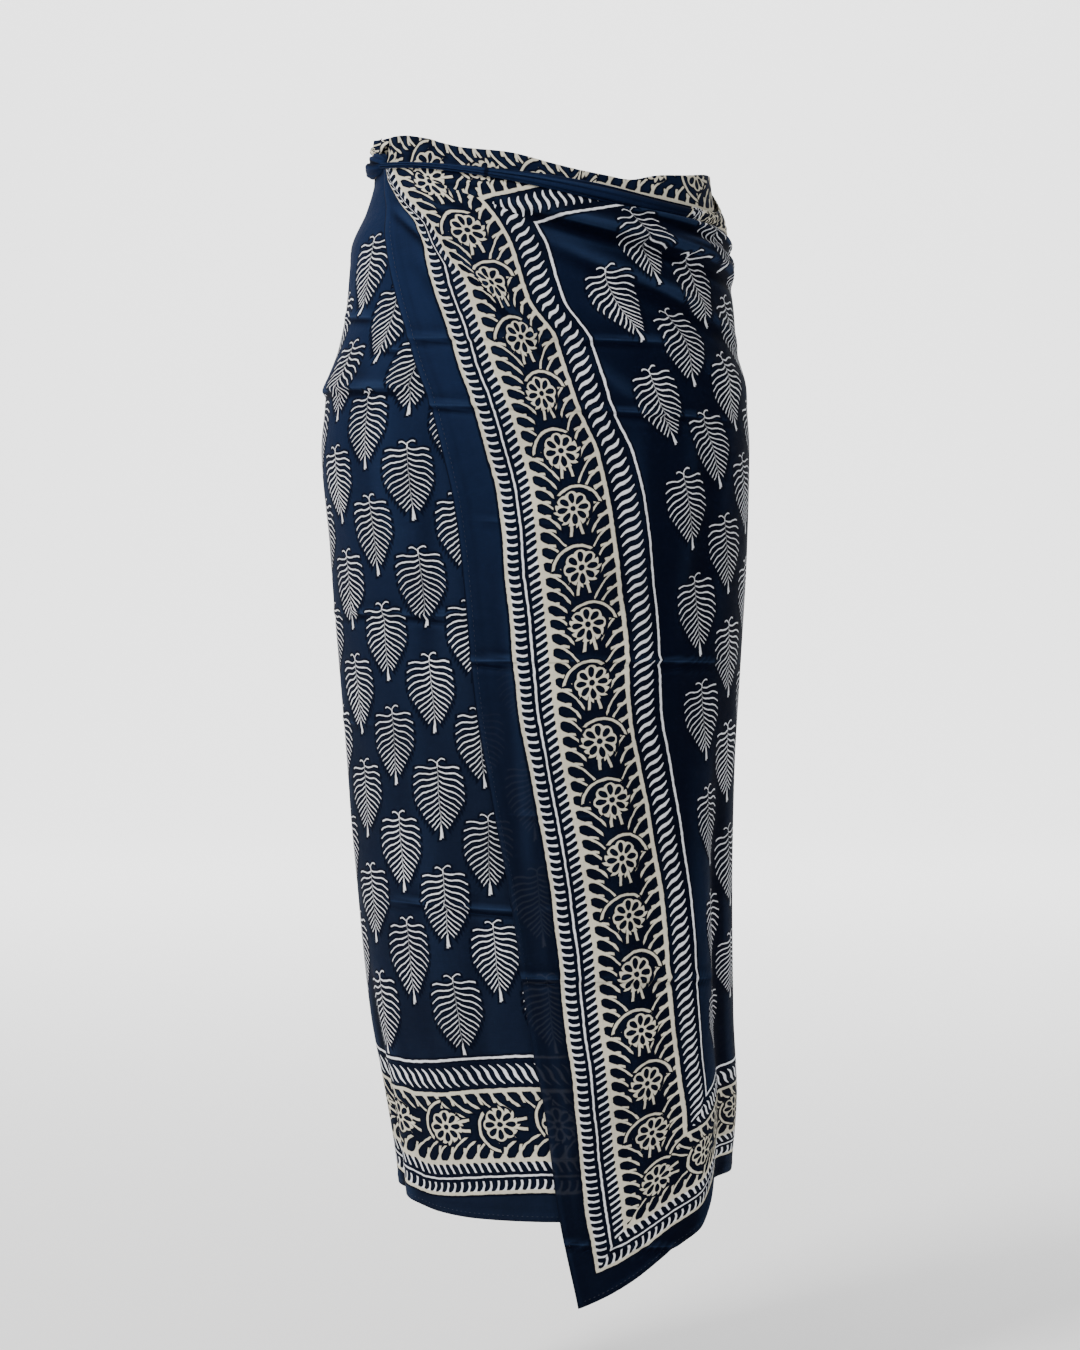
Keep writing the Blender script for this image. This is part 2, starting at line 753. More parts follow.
def wear_map(lift: Rise, turn: Array, height: Array) -> Array:
    """Return a UV map of the wear, from how far each place stands out from those near it.

    Args:
        lift: gives the outer face's distance from the outline.
        turn: degrees round the figure.
        height: millimetres above the waist.

    Returns:
        The map, in millimetres, rows by columns by two.
    """
    middle = lift(turn, height)
    across = WEAR_ASIDE / MEAN_REACH * 180.0 / math.pi
    up_and_down = lift(turn, height + WEAR_UP) + lift(turn, height - WEAR_UP)
    side_to_side = lift(turn + across, height) + lift(turn - across, height)
    return ridge_map(middle * 2.0 - (up_and_down + side_to_side) / 2.0)


def crease_map(turn: Array, height: Array) -> Array:
    """Map the sharp creases: millimetres above the nearest, and how clear it is.

    Args:
        turn: degrees round the figure.
        height: millimetres above the waist.

    Returns:
        The map, rows by columns by two.
    """
    nearest = np.full_like(turn, CREASE_REACH)
    clear = np.zeros_like(turn)
    for crease in STORAGE_CREASES:
        off, ends = crease.reach(turn, height)
        closer = (np.abs(off) < np.abs(nearest)) & (ends > 0.0)
        nearest = np.where(closer, off, nearest)
        clear = np.where(closer, ends * min(1.0, crease.groove), clear)
    return np.stack((nearest, clear * (1.0 - np.abs(nearest) / CREASE_REACH)), axis=-1)


@dataclass
class ClothWall:
    """A thin wall of cloth between two edges and two levels."""

    name: str = "back_wrap_cloth"
    node: str = "back_wrap"
    slot: str = "printed_cotton"
    columns: int = 180
    rows: int = 150
    first_turn: float = SIDE_SEAM
    last_turn: float = BACK_SEAM
    cut_width: float = 0.36
    cut_length: float = 0.88
    cut_area: Optional[float] = None
    rests_on: tuple[str, ...] = ("inner_lap_cloth",)
    thickness: float = 0.55
    crowd_top: float = 1.0
    hem_ridge: float = 0.6
    hem_middle: float = 3.0
    hem_spread: float = 2.4
    start_height: float = -400.0
    passes: int = 15

    def first(self, height: Array) -> Array:
        """Return the turn of the wall's first upright edge."""
        return np.full_like(height, self.first_turn)

    def bottom(self, turn: Array) -> Array:
        """Return the height of the lower edge."""
        return HEM(turn)

    def top(self, turn: Array) -> Array:
        """Return the height of the upper edge."""
        return below_band(turn)

    def lift(self, turn: Array, height: Array) -> Array:
        """Return the outer face's distance from the outline."""
        return layer_lift(turn, height)

    def in_print(self, turn: Array, height: Array) -> tuple[Array, Array]:
        """Return the place in the flat cloth's print."""
        return CLOTH_MAP.back(turn, height)

    def grid(self) -> tuple[Array, Array]:
        """Spread the wall's points between its slanting edges, moving each until both agree.

        Returns:
            The turns in degrees and the heights in millimetres, each rows by columns.
        """
        level = 1.0 - (1.0 - np.linspace(0.0, 1.0, self.rows + 1)) ** self.crowd_top
        s, t = np.meshgrid(np.linspace(0.0, 1.0, self.columns + 1), level)
        height = np.full_like(s, self.start_height)
        for _ in range(self.passes):
            turn = self.first(height) * (1.0 - s) + self.last_turn * s
            height = self.bottom(turn) * (1.0 - t) + self.top(turn) * t
        return turn, height

    def hem(self, in_from_edge: Array) -> Array:
        """Return the small rise of the narrow turned hem."""
        from_middle = (in_from_edge - self.hem_middle) / self.hem_spread
        return self.hem_ridge * np.exp(-(from_middle**2))

    def outer_face(self, turn: Array, height: Array) -> Array:
        """Return the outer face's distance from the outline, with its hem."""
        return self.lift(turn, height) + self.hem(height - self.bottom(turn))

    def build(
        self, finish: bpy.types.Material, with_pieces: Sequence[bpy.types.Object] = ()
    ) -> bpy.types.Object:
        """Build the wall, dress it and say what it is.

        Args:
            finish: its material.
            with_pieces: the separate small pieces that are part of this sheet.

        Returns:
            The finished piece.
        """
        turn, height = self.grid()
        points = FORM.place(turn, height, self.outer_face(turn, height))
        maps = {
            "OFBake": whole_map(*turn.shape),
            "Cloth": print_map(*self.in_print(turn, height)),
            "Beneath": print_map(*CLOTH_MAP.side(turn + 360.0, height)),
            "Wear": wear_map(self.outer_face, turn, height),
            "Creases": crease_map(turn, height),
        }
        piece = grid_mesh(self.name, points, maps)
        thicken(piece, self.thickness)
        piece.data.materials.append(finish)
        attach(piece, "root")
        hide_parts(self.node)
        return piece


@dataclass
class OverPanel(ClothWall):
    """The wrap's outer end, from its free edge across the front to the right side."""

    name: str = "over_panel_cloth"
    node: str = "over_panel"
    columns: int = 200
    rows: int = 240
    last_turn: float = SIDE_SEAM
    cut_width: float = 0.40
    cut_length: float = 1.05
    cut_area: Optional[float] = 0.31
    rests_on: tuple[str, ...] = ("side_wrap_cloth",)
    crowd_top: float = 1.35

    def first(self, height: Array) -> Array:
        """Return the turn of the slanting free edge."""
        return FREE_EDGE(height)

    def top(self, turn: Array) -> Array:
        """Return the height of the upper edge, tucked behind the roll."""
        return roll_bottom(turn) + 2.0

    def lift(self, turn: Array, height: Array) -> Array:
        """Return the outer face's distance from the outline, pulled by the knot."""
        return panel_lift(turn, height) + self.hem(from_free_edge(turn, height))

    def in_print(self, turn: Array, height: Array) -> tuple[Array, Array]:
        """Return the place in the flat cloth's print."""
        return CLOTH_MAP.over(turn, height)


@dataclass
class SideWrap(ClothWall):
    """The under layer round the left side, as far as it shows beside the over panel."""

    name: str = "side_wrap_cloth"
    node: str = "side_wrap"
    columns: int = 180
    rows: int = 210
    first_turn: float = BACK_SEAM
    last_turn: float = LAP_SEAM
    cut_width: float = 0.33
    cut_length: float = 0.90
    crowd_top: float = 1.2

    def in_print(self, turn: Array, height: Array) -> tuple[Array, Array]:
        """Return the place in the flat cloth's print."""
        return CLOTH_MAP.side(turn, height)


@dataclass
class InnerLap(ClothWall):
    """The covered inner layer, under the over panel and the back."""

    name: str = "inner_lap_cloth"
    node: str = "inner_lap"
    slot: str = "cotton_inside"
    columns: int = 120
    rows: int = 70
    first_turn: float = LAP_SEAM
    last_turn: float = INNER_END
    cut_width: float = 0.58
    cut_length: float = 0.85
    rests_on: tuple[str, ...] = ()

    def top(self, turn: Array) -> Array:
        """Return the height of the upper edge, just inside the band."""
        return below_band(turn) - 1.2

    def in_print(self, turn: Array, height: Array) -> tuple[Array, Array]:
        """Return the place in the flat cloth's print."""
        return CLOTH_MAP.side(turn, height)


@dataclass
class TopBand(ClothWall):
    """The turned-down top border that stands above the roll and runs round the back."""

    name: str = "top_band_cloth"
    node: str = "top_band"
    slot: str = "border_cotton"
    columns: int = 420
    rows: int = 30
    last_turn: float = BAND_END
    cut_width: float = 0.86
    cut_length: float = 0.045
    rests_on: tuple[str, ...] = ("back_wrap_cloth", "side_wrap_cloth")
    # The gathers near the knot: their height, and where they are fullest past the knot
    gather: float = 0.8
    gather_past: float = 14.0
    gather_width: float = 15.0

    def bottom(self, turn: Array) -> Array:
        """Return the height of the lower edge."""
        return band_bottom(turn)

    def top(self, turn: Array) -> Array:
        """Return the height of the waist's edge."""
        return TOP_EDGE(turn)

    def lift(self, turn: Array, height: Array) -> Array:
        """Return the outer face's distance from the outline, gathered near the knot.

        Args:
            turn: degrees round the figure.
            height: millimetres above the waist.

        Returns:
            The distance, in millimetres.
        """
        past = turn - KNOT_TURN
        near = np.exp(-(((past - self.gather_past) / self.gather_width) ** 2))
        fan = np.sin(past * 0.9 - (height - 12.0) * 0.12)
        return layer_lift(turn, height) + self.gather * near * fan * ease((past + 20.0) / 12.0)

    def in_print(self, turn: Array, height: Array) -> tuple[Array, Array]:
        """Return the place in the flat cloth's print."""
        return CLOTH_MAP.band(turn, height)


@dataclass
class Studio:
    """The pale floor and backdrop, the soft lights and the camera."""

    view_distance: float = 2.6
    view_height: float = -0.4312
    view_side: float = -0.00396
    frame_height: float = 1.188
    floor_height: float = -1.075
    floor_reach: float = 30.0
    bend_start: float = 9.0
    bend: float = 5.0
    backdrop_top: float = 22.0
    aim_height: float = -0.45
    sky_strength: float = 0.36
    sensor: float = 36.0

    def camera(self) -> bpy.types.Object:
        """Add the camera, looking level along +Y from the photograph's place.

        Returns:
            The camera.
        """
        data = bpy.data.cameras.new("view")
        data.sensor_width = self.sensor
        data.lens = self.sensor * self.view_distance / self.frame_height
        data.clip_start = 0.05
        data.clip_end = 60.0
        eye = bpy.data.objects.new("view", data)
        eye.location = (self.view_side, -self.view_distance, self.view_height)
        eye.rotation_euler = (math.pi / 2.0, 0.0, 0.0)
        bpy.context.scene.collection.objects.link(eye)
        bpy.context.scene.camera = eye
        return eye

    def floor(self) -> bpy.types.Object:
        """Lay a pale floor that sweeps up into a backdrop far behind.

        Returns:
            The floor.
        """
        reach, start, bend = self.floor_reach, self.bend_start, self.bend
        profile = [(-reach, 0.0), (start, 0.0)]
        for k in range(1, 13):
            angle = math.pi / 2.0 * k / 12.0
            profile.append((start + bend * math.sin(angle), bend - bend * math.cos(angle)))
        profile.append((start + bend, self.backdrop_top))
        points = np.array(
            [[(x, y, z + self.floor_height) for x in (-reach, reach)] for y, z in profile]
        )
        sweep = grid_mesh("studio_floor", points, {})
        material = bpy.data.materials.new("pale_floor")
        material.use_nodes = True
        shader = material.node_tree.nodes["Principled BSDF"]
        shader.inputs["Base Color"].default_value = (0.90, 0.90, 0.90, 1.0)
        shader.inputs["Roughness"].default_value = 0.9
        sweep.data.materials.append(material)
        return sweep

    def light(self, name: str, place: Triple, size: float, power: float, colour: Triple) -> None:
        """Add one soft square light aimed at the middle of the cloth.

        Args:
            name: the light's name.
            place: where it hangs, in metres.
            size: its side, in metres.
            power: watts.
            colour: linear red, green and blue.
        """
        data = bpy.data.lights.new(name, "AREA")
        data.shape = "SQUARE"
        data.size = size
        data.energy = power
        data.color = colour
        self.hang(data, place, (0.0, 0.0, self.aim_height))

    def backdrop_light(self) -> None:
        """Brighten the backdrop alone, from high up behind the cloth."""
        data = bpy.data.lights.new("backdrop_light", "AREA")
        data.shape = "RECTANGLE"
        data.size = 14.0
        data.size_y = 4.0
        data.energy = 3600.0
        self.hang(data, (0.0, 4.5, 7.5), (0.0, 13.0, 1.0))

    def hang(self, data: bpy.types.AreaLight, place: Triple, target: Triple) -> None:
        """Hang a lamp at a place and aim it.

        Args:
            data: the lamp's light.
            place: where it hangs, in metres.
            target: where it points.
        """
        lamp = bpy.data.objects.new(data.name, data)
        lamp.location = place
        aim = Vector(target) - Vector(place)
        lamp.rotation_euler = aim.to_track_quat("-Z", "Y").to_euler()
        bpy.context.scene.collection.objects.link(lamp)

    def build(self) -> None:
        """Set up the floor, the lights, the sky and the camera."""
        self.camera()
        self.floor()
        self.light("key_light", (-2.0, -2.1, 2.4), 0.9, 165.0, (1.0, 0.98, 0.96))
        self.light("fill_light", (2.2, -2.8, 0.2), 2.4, 9.0, (0.96, 0.98, 1.0))
        self.light("back_light", (0.6, 2.8, 1.6), 2.0, 20.0, (1.0, 1.0, 1.0))
        self.backdrop_light()
        world = bpy.data.worlds.new("studio_sky")
        world.use_nodes = True
        sky = world.node_tree.nodes["Background"]
        sky.inputs["Color"].default_value = (1.0, 1.0, 1.0, 1.0)
        sky.inputs["Strength"].default_value = self.sky_strength
        bpy.context.scene.world = world


Number = Union["Value", float]


class Value:
    """A number that changes over the surface, so that sums on it read as sums."""

    def __init__(self, tree: bpy.types.NodeTree, socket: bpy.types.NodeSocket) -> None:
        """Keep the node tree and the socket that gives the number."""
        self.tree = tree
        self.socket = socket

    def math(
        self, operation: str, other: Optional[Number] = None, third: Optional[Number] = None
    ) -> "Value":
        """Return this number put through one Math node.

        Args:
            operation: the node's operation.
            other: its second number.
            third: its third number.

        Returns:
            The node's result.
        """
        node = self.tree.nodes.new("ShaderNodeMath")
        node.operation = operation
        for slot, given in enumerate((self, other, third)):
            if isinstance(given, Value):
                self.tree.links.new(given.socket, node.inputs[slot])
            elif given is not None:
                node.inputs[slot].default_value = float(given)
        return Value(self.tree, node.outputs[0])

    def __add__(self, other: Number) -> "Value":
        """Return the sum."""
        return self.math("ADD", other)

    def __radd__(self, other: float) -> "Value":
        """Return the sum."""
        return self.math("ADD", other)

    def __sub__(self, other: Number) -> "Value":
        """Return the difference."""
        return self.math("SUBTRACT", other)

    def __rsub__(self, other: float) -> "Value":
        """Return a plain number less this one."""
        return self.math("MULTIPLY_ADD", -1.0, other)

    def __mul__(self, other: Number) -> "Value":
        """Return the product."""
        return self.math("MULTIPLY", other)

    def __truediv__(self, other: Number) -> "Value":
        """Return the quotient."""
        return self.math("DIVIDE", other)

    def __neg__(self) -> "Value":
        """Return the number turned about zero."""
        return self.math("MULTIPLY", -1.0)

    def size(self) -> "Value":
        """Return the number without its sign."""
        return self.math("ABSOLUTE")

    def wave(self) -> "Value":
        """Return the sine."""
        return self.math("SINE")

    def root(self) -> "Value":
        """Return the square root, and 0 below 0."""
        return self.math("MAXIMUM", 0.0).math("SQRT")

    def whole(self) -> "Value":
        """Return the nearest whole number."""
        return self.math("ADD", 0.5).math("FLOOR")

    def least(self, other: Number) -> "Value":
        """Return the smaller, which is where both shapes are."""
        return self.math("MINIMUM", other)

    def most(self, other: Number) -> "Value":
        """Return the larger, which is where either shape is."""
        return self.math("MAXIMUM", other)

    def above(self, other: Number) -> "Value":
        """Return 1 where this number is the larger, else 0."""
        return self.math("GREATER_THAN", other)

    def repeat(self, pitch: float) -> "Value":
        """Return the distance past the nearest repeat, from minus to plus half a pitch."""
        return self - (self / pitch).whole() * pitch

    def stroke(self, half_width: Number) -> "Value":
        """Return how far inside a line about zero this place is."""
        return self.size().math("MULTIPLY_ADD", -1.0, half_width)

    def clamp(self) -> "Value":
        """Keep the number between 0 and 1.

        Returns:
            The number, limited.
        """
        node = self.tree.nodes.new("ShaderNodeClamp")
        self.tree.links.new(self.socket, node.inputs[0])
        return Value(self.tree, node.outputs[0])

    def choose(self, yes: Number, no: Number) -> "Value":
        """Return yes where this number is 1, and no where it is 0.

        Args:
            yes: the number given at 1.
            no: the number given at 0.

        Returns:
            The chosen number, and a mix of both in between.
        """
        # A Mix node takes plain numbers at inputs 2 and 3, and colours at 6 and 7
        node = self.tree.nodes.new("ShaderNodeMix")
        for slot, given in ((0, self), (2, no), (3, yes)):
            if isinstance(given, Value):
                self.tree.links.new(given.socket, node.inputs[slot])
            else:
                node.inputs[slot].default_value = float(given)
        return Value(self.tree, node.outputs[0])


class Effect:
    """A shader node group with named inputs and outputs, built once."""

    def __init__(
        self, name: str, inputs: Sequence[tuple[str, float]], outputs: Sequence[str]
    ) -> None:
        """Start an empty group.

        Args:
            name: the group's name.
            inputs: each input's name and usual value.
            outputs: the outputs' names.
        """
        self.tree = bpy.data.node_groups.new(name, "ShaderNodeTree")
        face = self.tree.interface
        for label, usual in inputs:
            socket = face.new_socket(label, in_out="INPUT", socket_type="NodeSocketFloat")
            socket.default_value = usual
        for label in outputs:
            face.new_socket(label, in_out="OUTPUT", socket_type="NodeSocketFloat")
        self.entry = self.tree.nodes.new("NodeGroupInput")
        self.exit = self.tree.nodes.new("NodeGroupOutput")

    def given(self, label: str) -> Value:
        """Return an input as a number."""
        return Value(self.tree, self.entry.outputs[label])

    def gives(self, label: str, value: Value) -> None:
        """Send a number to an output."""
        self.tree.links.new(value.socket, self.exit.inputs[label])

    def used(self, tree: bpy.types.NodeTree, **values: Number) -> dict[str, Value]:
        """Place the group in a tree.

        Args:
            tree: the tree it goes in.
            **values: its inputs, by name.

        Returns:
            Its outputs, by name.
        """
        node = tree.nodes.new("ShaderNodeGroup")
        node.node_tree = self.tree
        for label, value in values.items():
            if isinstance(value, Value):
                tree.links.new(value.socket, node.inputs[label])
            else:
                node.inputs[label].default_value = float(value)
        return {socket.name: Value(tree, socket) for socket in node.outputs}


def noise(
    tree: bpy.types.NodeTree, across: Value, down: Value, scale: float, detail: float = 1.0
) -> tuple[Value, Value]:
    """Make two soft random numbers that change over the cloth.

    Args:
        tree: the nodes it goes in.
        across: the place across the cloth.
        down: the place down it.
        scale: how many changes there are for each millimetre.
        detail: how many finer layers are added.

    Returns:
        The two numbers, each about 0.5.
    """
    joined = tree.nodes.new("ShaderNodeCombineXYZ")
    tree.links.new(across.socket, joined.inputs[0])
    tree.links.new(down.socket, joined.inputs[1])
    texture = tree.nodes.new("ShaderNodeTexNoise")
    texture.noise_dimensions = "2D"
    texture.inputs["Scale"].default_value = scale
    texture.inputs["Detail"].default_value = detail
    tree.links.new(joined.outputs[0], texture.inputs["Vector"])
    parts = tree.nodes.new("ShaderNodeSeparateColor")
    tree.links.new(texture.outputs["Color"], parts.inputs[0])
    return Value(tree, parts.outputs[0]), Value(tree, parts.outputs[1])


# Every motif below gives how far inside the pale cotton a place is, in millimetres.
# Where two motifs meet, the larger is either of them and the smaller is both.
# Their sizes and spacing were measured in the photograph, and formulas give their shapes.


@dataclass(frozen=True)
class PeepalLeaf:
    """The block that prints one leaf: its veins, sprout and the drop at its point."""

    vein_pitch: float = 4.25
    last_vein: float = 11.0
    widest: float = 21.0
    shoulder: float = 18.6
    taper: float = 28.8
    centre: float = 23.4
    tip: float = 51.0
    drop_end: float = 61.6

    def field(self, x: Value, y: Value) -> Value:
        """Return the leaf's field.

        Args:
            x: millimetres right of the midrib.
            y: millimetres below the first vein's start.

        Returns:
            How far inside the pale cotton each place is, in millimetres.
        """
        # The veins: they curve up, thicken outwards and end at the leaf's outline
        right = x.above(0.0)
        y = y + right * 1.2
        far = x.size()
        swell = (far * (2.0 * math.pi / 20.0)).wave()
        spread = far * 0.016 + far * far * 0.0006 + 1.0
        start = (y - far * 0.12 - swell) / spread
        row = (start / self.vein_pitch).whole().most(0.0).least(self.last_vein)
        first = row * self.vein_pitch
        off = (start - first) * spread
        reach = (first * 0.5 + self.shoulder).least(self.taper - first * 0.5)
        reach = reach.least(self.widest)
        thick = (far * 0.20 + 0.2).least(0.54)
        veins = off.stroke(thick).least(((reach - far) * 0.8).least((far - 0.75) * 0.6 + 0.1))
        # The broken midrib, the two curls above it, the stalk and the drop at the point
        rib = far.stroke(0.10).least(y.least(self.tip - y))
        rib = rib.least(y.repeat(2.6).stroke(0.9))
        curl = ((far * 0.3366).wave() * 3.0 + y + 2.9).stroke(0.48).least(6.8 - far)
        stem = far.stroke(0.42).least((y + 3.8).least(0.6 - y))
        below = y - self.tip
        drop = (below * 0.105 + 0.42 - far).least(below.least(self.drop_end - y))
        return veins.most(rib).most(curl.most(stem)).most(drop)


@dataclass(frozen=True)
class VineBorder:
    """The border block: two combs and lines, the flowering vine, and the rope."""

    flower_pitch: float = 49.5
    comb_pitch: float = 6.7
    rope_pitch: float = 7.9
    petals: float = 8.0
    outer_strip: float = 1.4
    thin_line: float = 15.7
    comb_back: float = 28.4
    edge_line: float = 29.8
    vine_start: float = 31.0
    vine_end: float = 93.0
    rope_start: float = 94.0
    inner_line: float = 120.5
    corner: float = 98.0

    def combs(self, along: Value, across: Value) -> Value:
        """Draw the outer comb, the thin line, the inner comb and the line beside it.

        Args:
            along: millimetres along the border, with a flower at 0.
            across: millimetres in from the border's outer edge.

        Returns:
            How far inside the pale cotton each place is, in millimetres.
        """
        # Each comb's teeth curve over and thicken towards the strip that they grow from
        strip = (across - self.outer_strip).stroke(self.outer_strip)
        tooth = across - 2.6
        bend = tooth * 0.75 - tooth * tooth * 0.052
        root = (tooth * -0.9).math("EXPONENT") * 1.5 + 0.86
        teeth = root - (along - bend).repeat(self.comb_pitch).size()
        teeth = teeth.least((tooth + 1.0).least(9.2 - tooth))
        line = (across - self.thin_line).stroke(0.8)
        back = self.comb_back - across
        root = (back * -0.9).math("EXPONENT") * 1.3 + 0.95
        comb = root - (along - back * 0.42).repeat(self.comb_pitch).size()
        comb = comb.least((back + 1.0).least(8.6 - back))
        edge = (across - self.edge_line).stroke(1.1)
        return strip.most(teeth).most(line.most(comb)).most(edge)

    def rope(self, along: Value, across: Value) -> Value:
        """Draw the slanting strokes of the rope and the line inside it.

        Args:
            along: millimetres along the border, with a flower at 0.
            across: millimetres in from the border's outer edge.

        Returns:
            How far inside the pale cotton each place is, in millimetres.
        """
        over = across - self.rope_start
        sway = ((over - 3.0) * (2.0 * math.pi / 16.5)).wave()
        point = (over - 11.4) / 8.8
        half = (1.0 - point * point).root() * 1.45
        strokes = half - (along + over * 0.58 + sway).repeat(self.rope_pitch).size()
        strokes = strokes.least((over - 2.8).least(20.2 - over))
        return strokes.most((across - self.inner_line).stroke(1.02))

    def flower(self, x: Value, y: Value, round_it: Value) -> Value:
        """Draw one eight-petalled flower and its two hanging tails.

        Args:
            x: millimetres to one side of its middle.
            y: millimetres along from its middle.
            round_it: millimetres from its middle.

        Returns:
            How far inside the pale cotton each place is, in millimetres.
        """
        # The petals are dark on a pale disc, whose rim is ragged on one side
        angle = y.math("ARCTAN2", x) * (self.petals / (2.0 * math.pi))
        turn = angle.repeat(1.0)
        aside = turn.size() * round_it * (2.0 * math.pi / self.petals)
        swell = (round_it - 8.9) / 4.5
        petal = (1.0 - swell * swell).root() * (round_it * 0.16 + 1.15)
        dark = (petal - aside).most(2.5 - round_it)
        rim = 14.7 - turn * turn * 7.0
        jag = (angle * 2.0).math("FRACT") * 3.4 - 1.3
        ragged = (y * 1.2 - x).above(2.0)
        bloom = (rim + ragged * jag - round_it).least(-dark)
        tails = (x.size() - 3.4 - (y - 13.0) * 0.16).stroke(1.15)
        tails = tails.least((y - 12.0).least(22.5 - y))
        return bloom.most(tails)

    def tendrils(self, along: Value, inward: Value, side: Value) -> Value:
        """Draw the curling tendrils that grow in from one edge of the vine.

        Args:
            along: millimetres along the border.
            inward: millimetres in from the vine's nearer edge.
            side: 1 on the rope's side, 0 on the comb's side.

        Returns:
            How far inside the pale cotton each place is, in millimetres.
        """
        pitch = self.flower_pitch / 4.0
        out = inward - 1.5
        lean = along - out * 0.2 - out * out * 0.038 + side * 5.0
        count = (lean / pitch).whole()
        off = lean - count * pitch
        chance = (count * 0.618 + side * 0.37).math("FRACT")
        reach = chance * 9.0 + 14.0
        tip = (out - reach + 2.2) / 1.9
        half = (out * -0.45).math("EXPONENT") * 2.1 + 1.15
        half = half + (tip * tip * -1.0).math("EXPONENT") * 0.8
        stem = ((half - off.size()) * 0.85).least(reach - out)
        fork = (off + (out - 5.0) * 0.62).stroke(1.0)
        fork = fork.least((out - 4.0).least(chance * 4.0 + 9.0 - out))
        return stem.most(fork)

    def vine(self, along: Value, across: Value) -> Value:
        """Draw the flowers, their arching stems and the vine's flanks.

        Args:
            along: millimetres along the border, with a flower at 0.
            across: millimetres in from the border's outer edge.

        Returns:
            How far inside the pale cotton each place is, in millimetres.
        """
        middle = (self.vine_start + self.vine_end) / 2.0
        count = (along / self.flower_pitch).whole()
        y = along - count * self.flower_pitch
        odd = (count * 0.5).math("FRACT").above(0.25)
        x = (across - middle) * (1.0 - odd * 2.0)
        round_it = (x * x + y * y).root()
        bloom = self.flower(x, y, round_it)
        # Each stem arches over its flower, and the flanks keep clear of both
        stem_x, stem_y = x - 3.0, y - 2.0
        stem_round = (stem_x * stem_x + stem_y * stem_y).root()
        arch = (stem_round - 20.6).stroke(1.1).least(x * 0.35 - y - 10.0)
        under_arch = (x * 0.35 - y).above(8.5)
        clear = under_arch.choose(stem_round - 23.0, round_it - 16.9)
        inward = 31.0 - (across - middle).size()
        side = across.above(middle)
        flanks = self.tendrils(along, inward, side).least(clear)
        strip = side * 2.4 + 0.9 - inward
        return bloom.most(arch).most(flanks).most(strip)

    def field(self, along: Value, across: Value) -> Value:
        """Return the whole border's field.

        Args:
            along: millimetres along the border, with a flower at 0.
            across: millimetres in from the border's outer edge.

        Returns:
            How far inside the pale cotton each place is, in millimetres.
        """
        in_vine = (across - self.vine_start + 0.5).least(self.vine_end - across)
        vine = self.vine(along, across).least(in_vine)
        return self.combs(along, across).most(vine).most(self.rope(along, across))


# The usual v of one row of leaves, and v above which no leaf is printed
LEAF_ROW = 933.0
FIRST_ROW = 215.0


@dataclass(frozen=True)
class BlockPrint:
    """The whole cloth's print: borders on all sides and leaves in half-drop rows."""

    leaf: PeepalLeaf = field(default_factory=PeepalLeaf)
    border: VineBorder = field(default_factory=VineBorder)
    column_pitch: float = 80.0
    row_pitch: float = 90.0
    first_column: float = 200.0
    wander: float = 5.0
    shake: float = 1.1
    leaves_start: float = 124.0
    first_leaf: float = 185.0
    last_leaf: float = 945.0

    def effect(self) -> Effect:
        """Build the print's node group.

        Returns:
            A group that takes a place on the flat cloth and the leaf rows' start, and
            gives how deep in the pale print the place is, how creamy the pale is, and
            how far the place is inside the border.
        """
        made = Effect(
            "hand_block_print",
            (("Along", 0.0), ("Down", 0.0), ("Leaf row", LEAF_ROW), ("First row", FIRST_ROW)),
            ("Depth", "Cream", "Border"),
        )
        plain_u, plain_v = made.given("Along"), made.given("Down")
        wander_u, wander_v = noise(made.tree, plain_u, plain_v, 0.012)
        shake_u, shake_v = noise(made.tree, plain_u, plain_v, 0.17)
        u = plain_u + (wander_u - 0.5) * self.wander + (shake_u - 0.5) * self.shake
        v = plain_v + (wander_v - 0.5) * self.wander + (shake_v - 0.5) * self.shake
        short = u - SHORT_EDGE_MARGIN
        bottom = (CLOTH_DROP - LONG_EDGE_MARGIN) - v
        top = v - TOP_EDGE_MARGIN
        long_way = bottom.least(top)
        upright = long_way.above(short)
        across = short.least(long_way)
        corner_v = CLOTH_DROP - LONG_EDGE_MARGIN - self.border.corner + SHORT_EDGE_MARGIN
        along = upright.choose(v - corner_v, u - self.border.corner)
        rim = self.border.field(along, across)
        leaves = self.leaves(u, v, made.given("Leaf row"), made.given("First row"))
        leaves = leaves.least(across - self.leaves_start)
        depth = rim.most(leaves)
        made.gives("Depth", depth)
        in_vine = (across - 27.0).least(94.0 - across).most(3.5 - across).clamp()
        made.gives("Cream", in_vine)
        made.gives("Border", (across / 2.0).least((121.5 - across) / 2.0).clamp())
        return made

    def leaves(self, u: Value, v: Value, row_start: Value, first_row: Value) -> Value:
        """Draw the nearest leaf in the half-drop rows.

        Args:
            u: millimetres from the free edge on the flat cloth.
            v: millimetres down from its top edge.
            row_start: v of one row of leaves.
            first_row: v above which no leaf is printed.

        Returns:
            How far inside the pale cotton each place is, in millimetres.
        """
        # Places nearer to a leaf of the half-drop columns are moved onto that leaf
        x = (u - self.first_column).repeat(self.column_pitch)
        y = (v - row_start).repeat(self.row_pitch)
        limit = y.above(0.0).choose(24.25 - y * 0.25, 27.0 + y * 0.25)
        other = x.size().above(limit)
        x = x - other * x.math("SIGN") * (self.column_pitch / 2.0)
        y = y - other * y.math("SIGN") * (self.row_pitch / 2.0)
        middle_u, middle_v = u - x, v - y
        in_rows = (middle_v - first_row).least(self.last_leaf - middle_v)
        shown = (middle_u - self.first_leaf).least(in_rows)
        return self.leaf.field(x, y + self.leaf.centre).least(shown)


# The plain weave repeats after two threads, millimetres
WEAVE_PITCH = 0.62
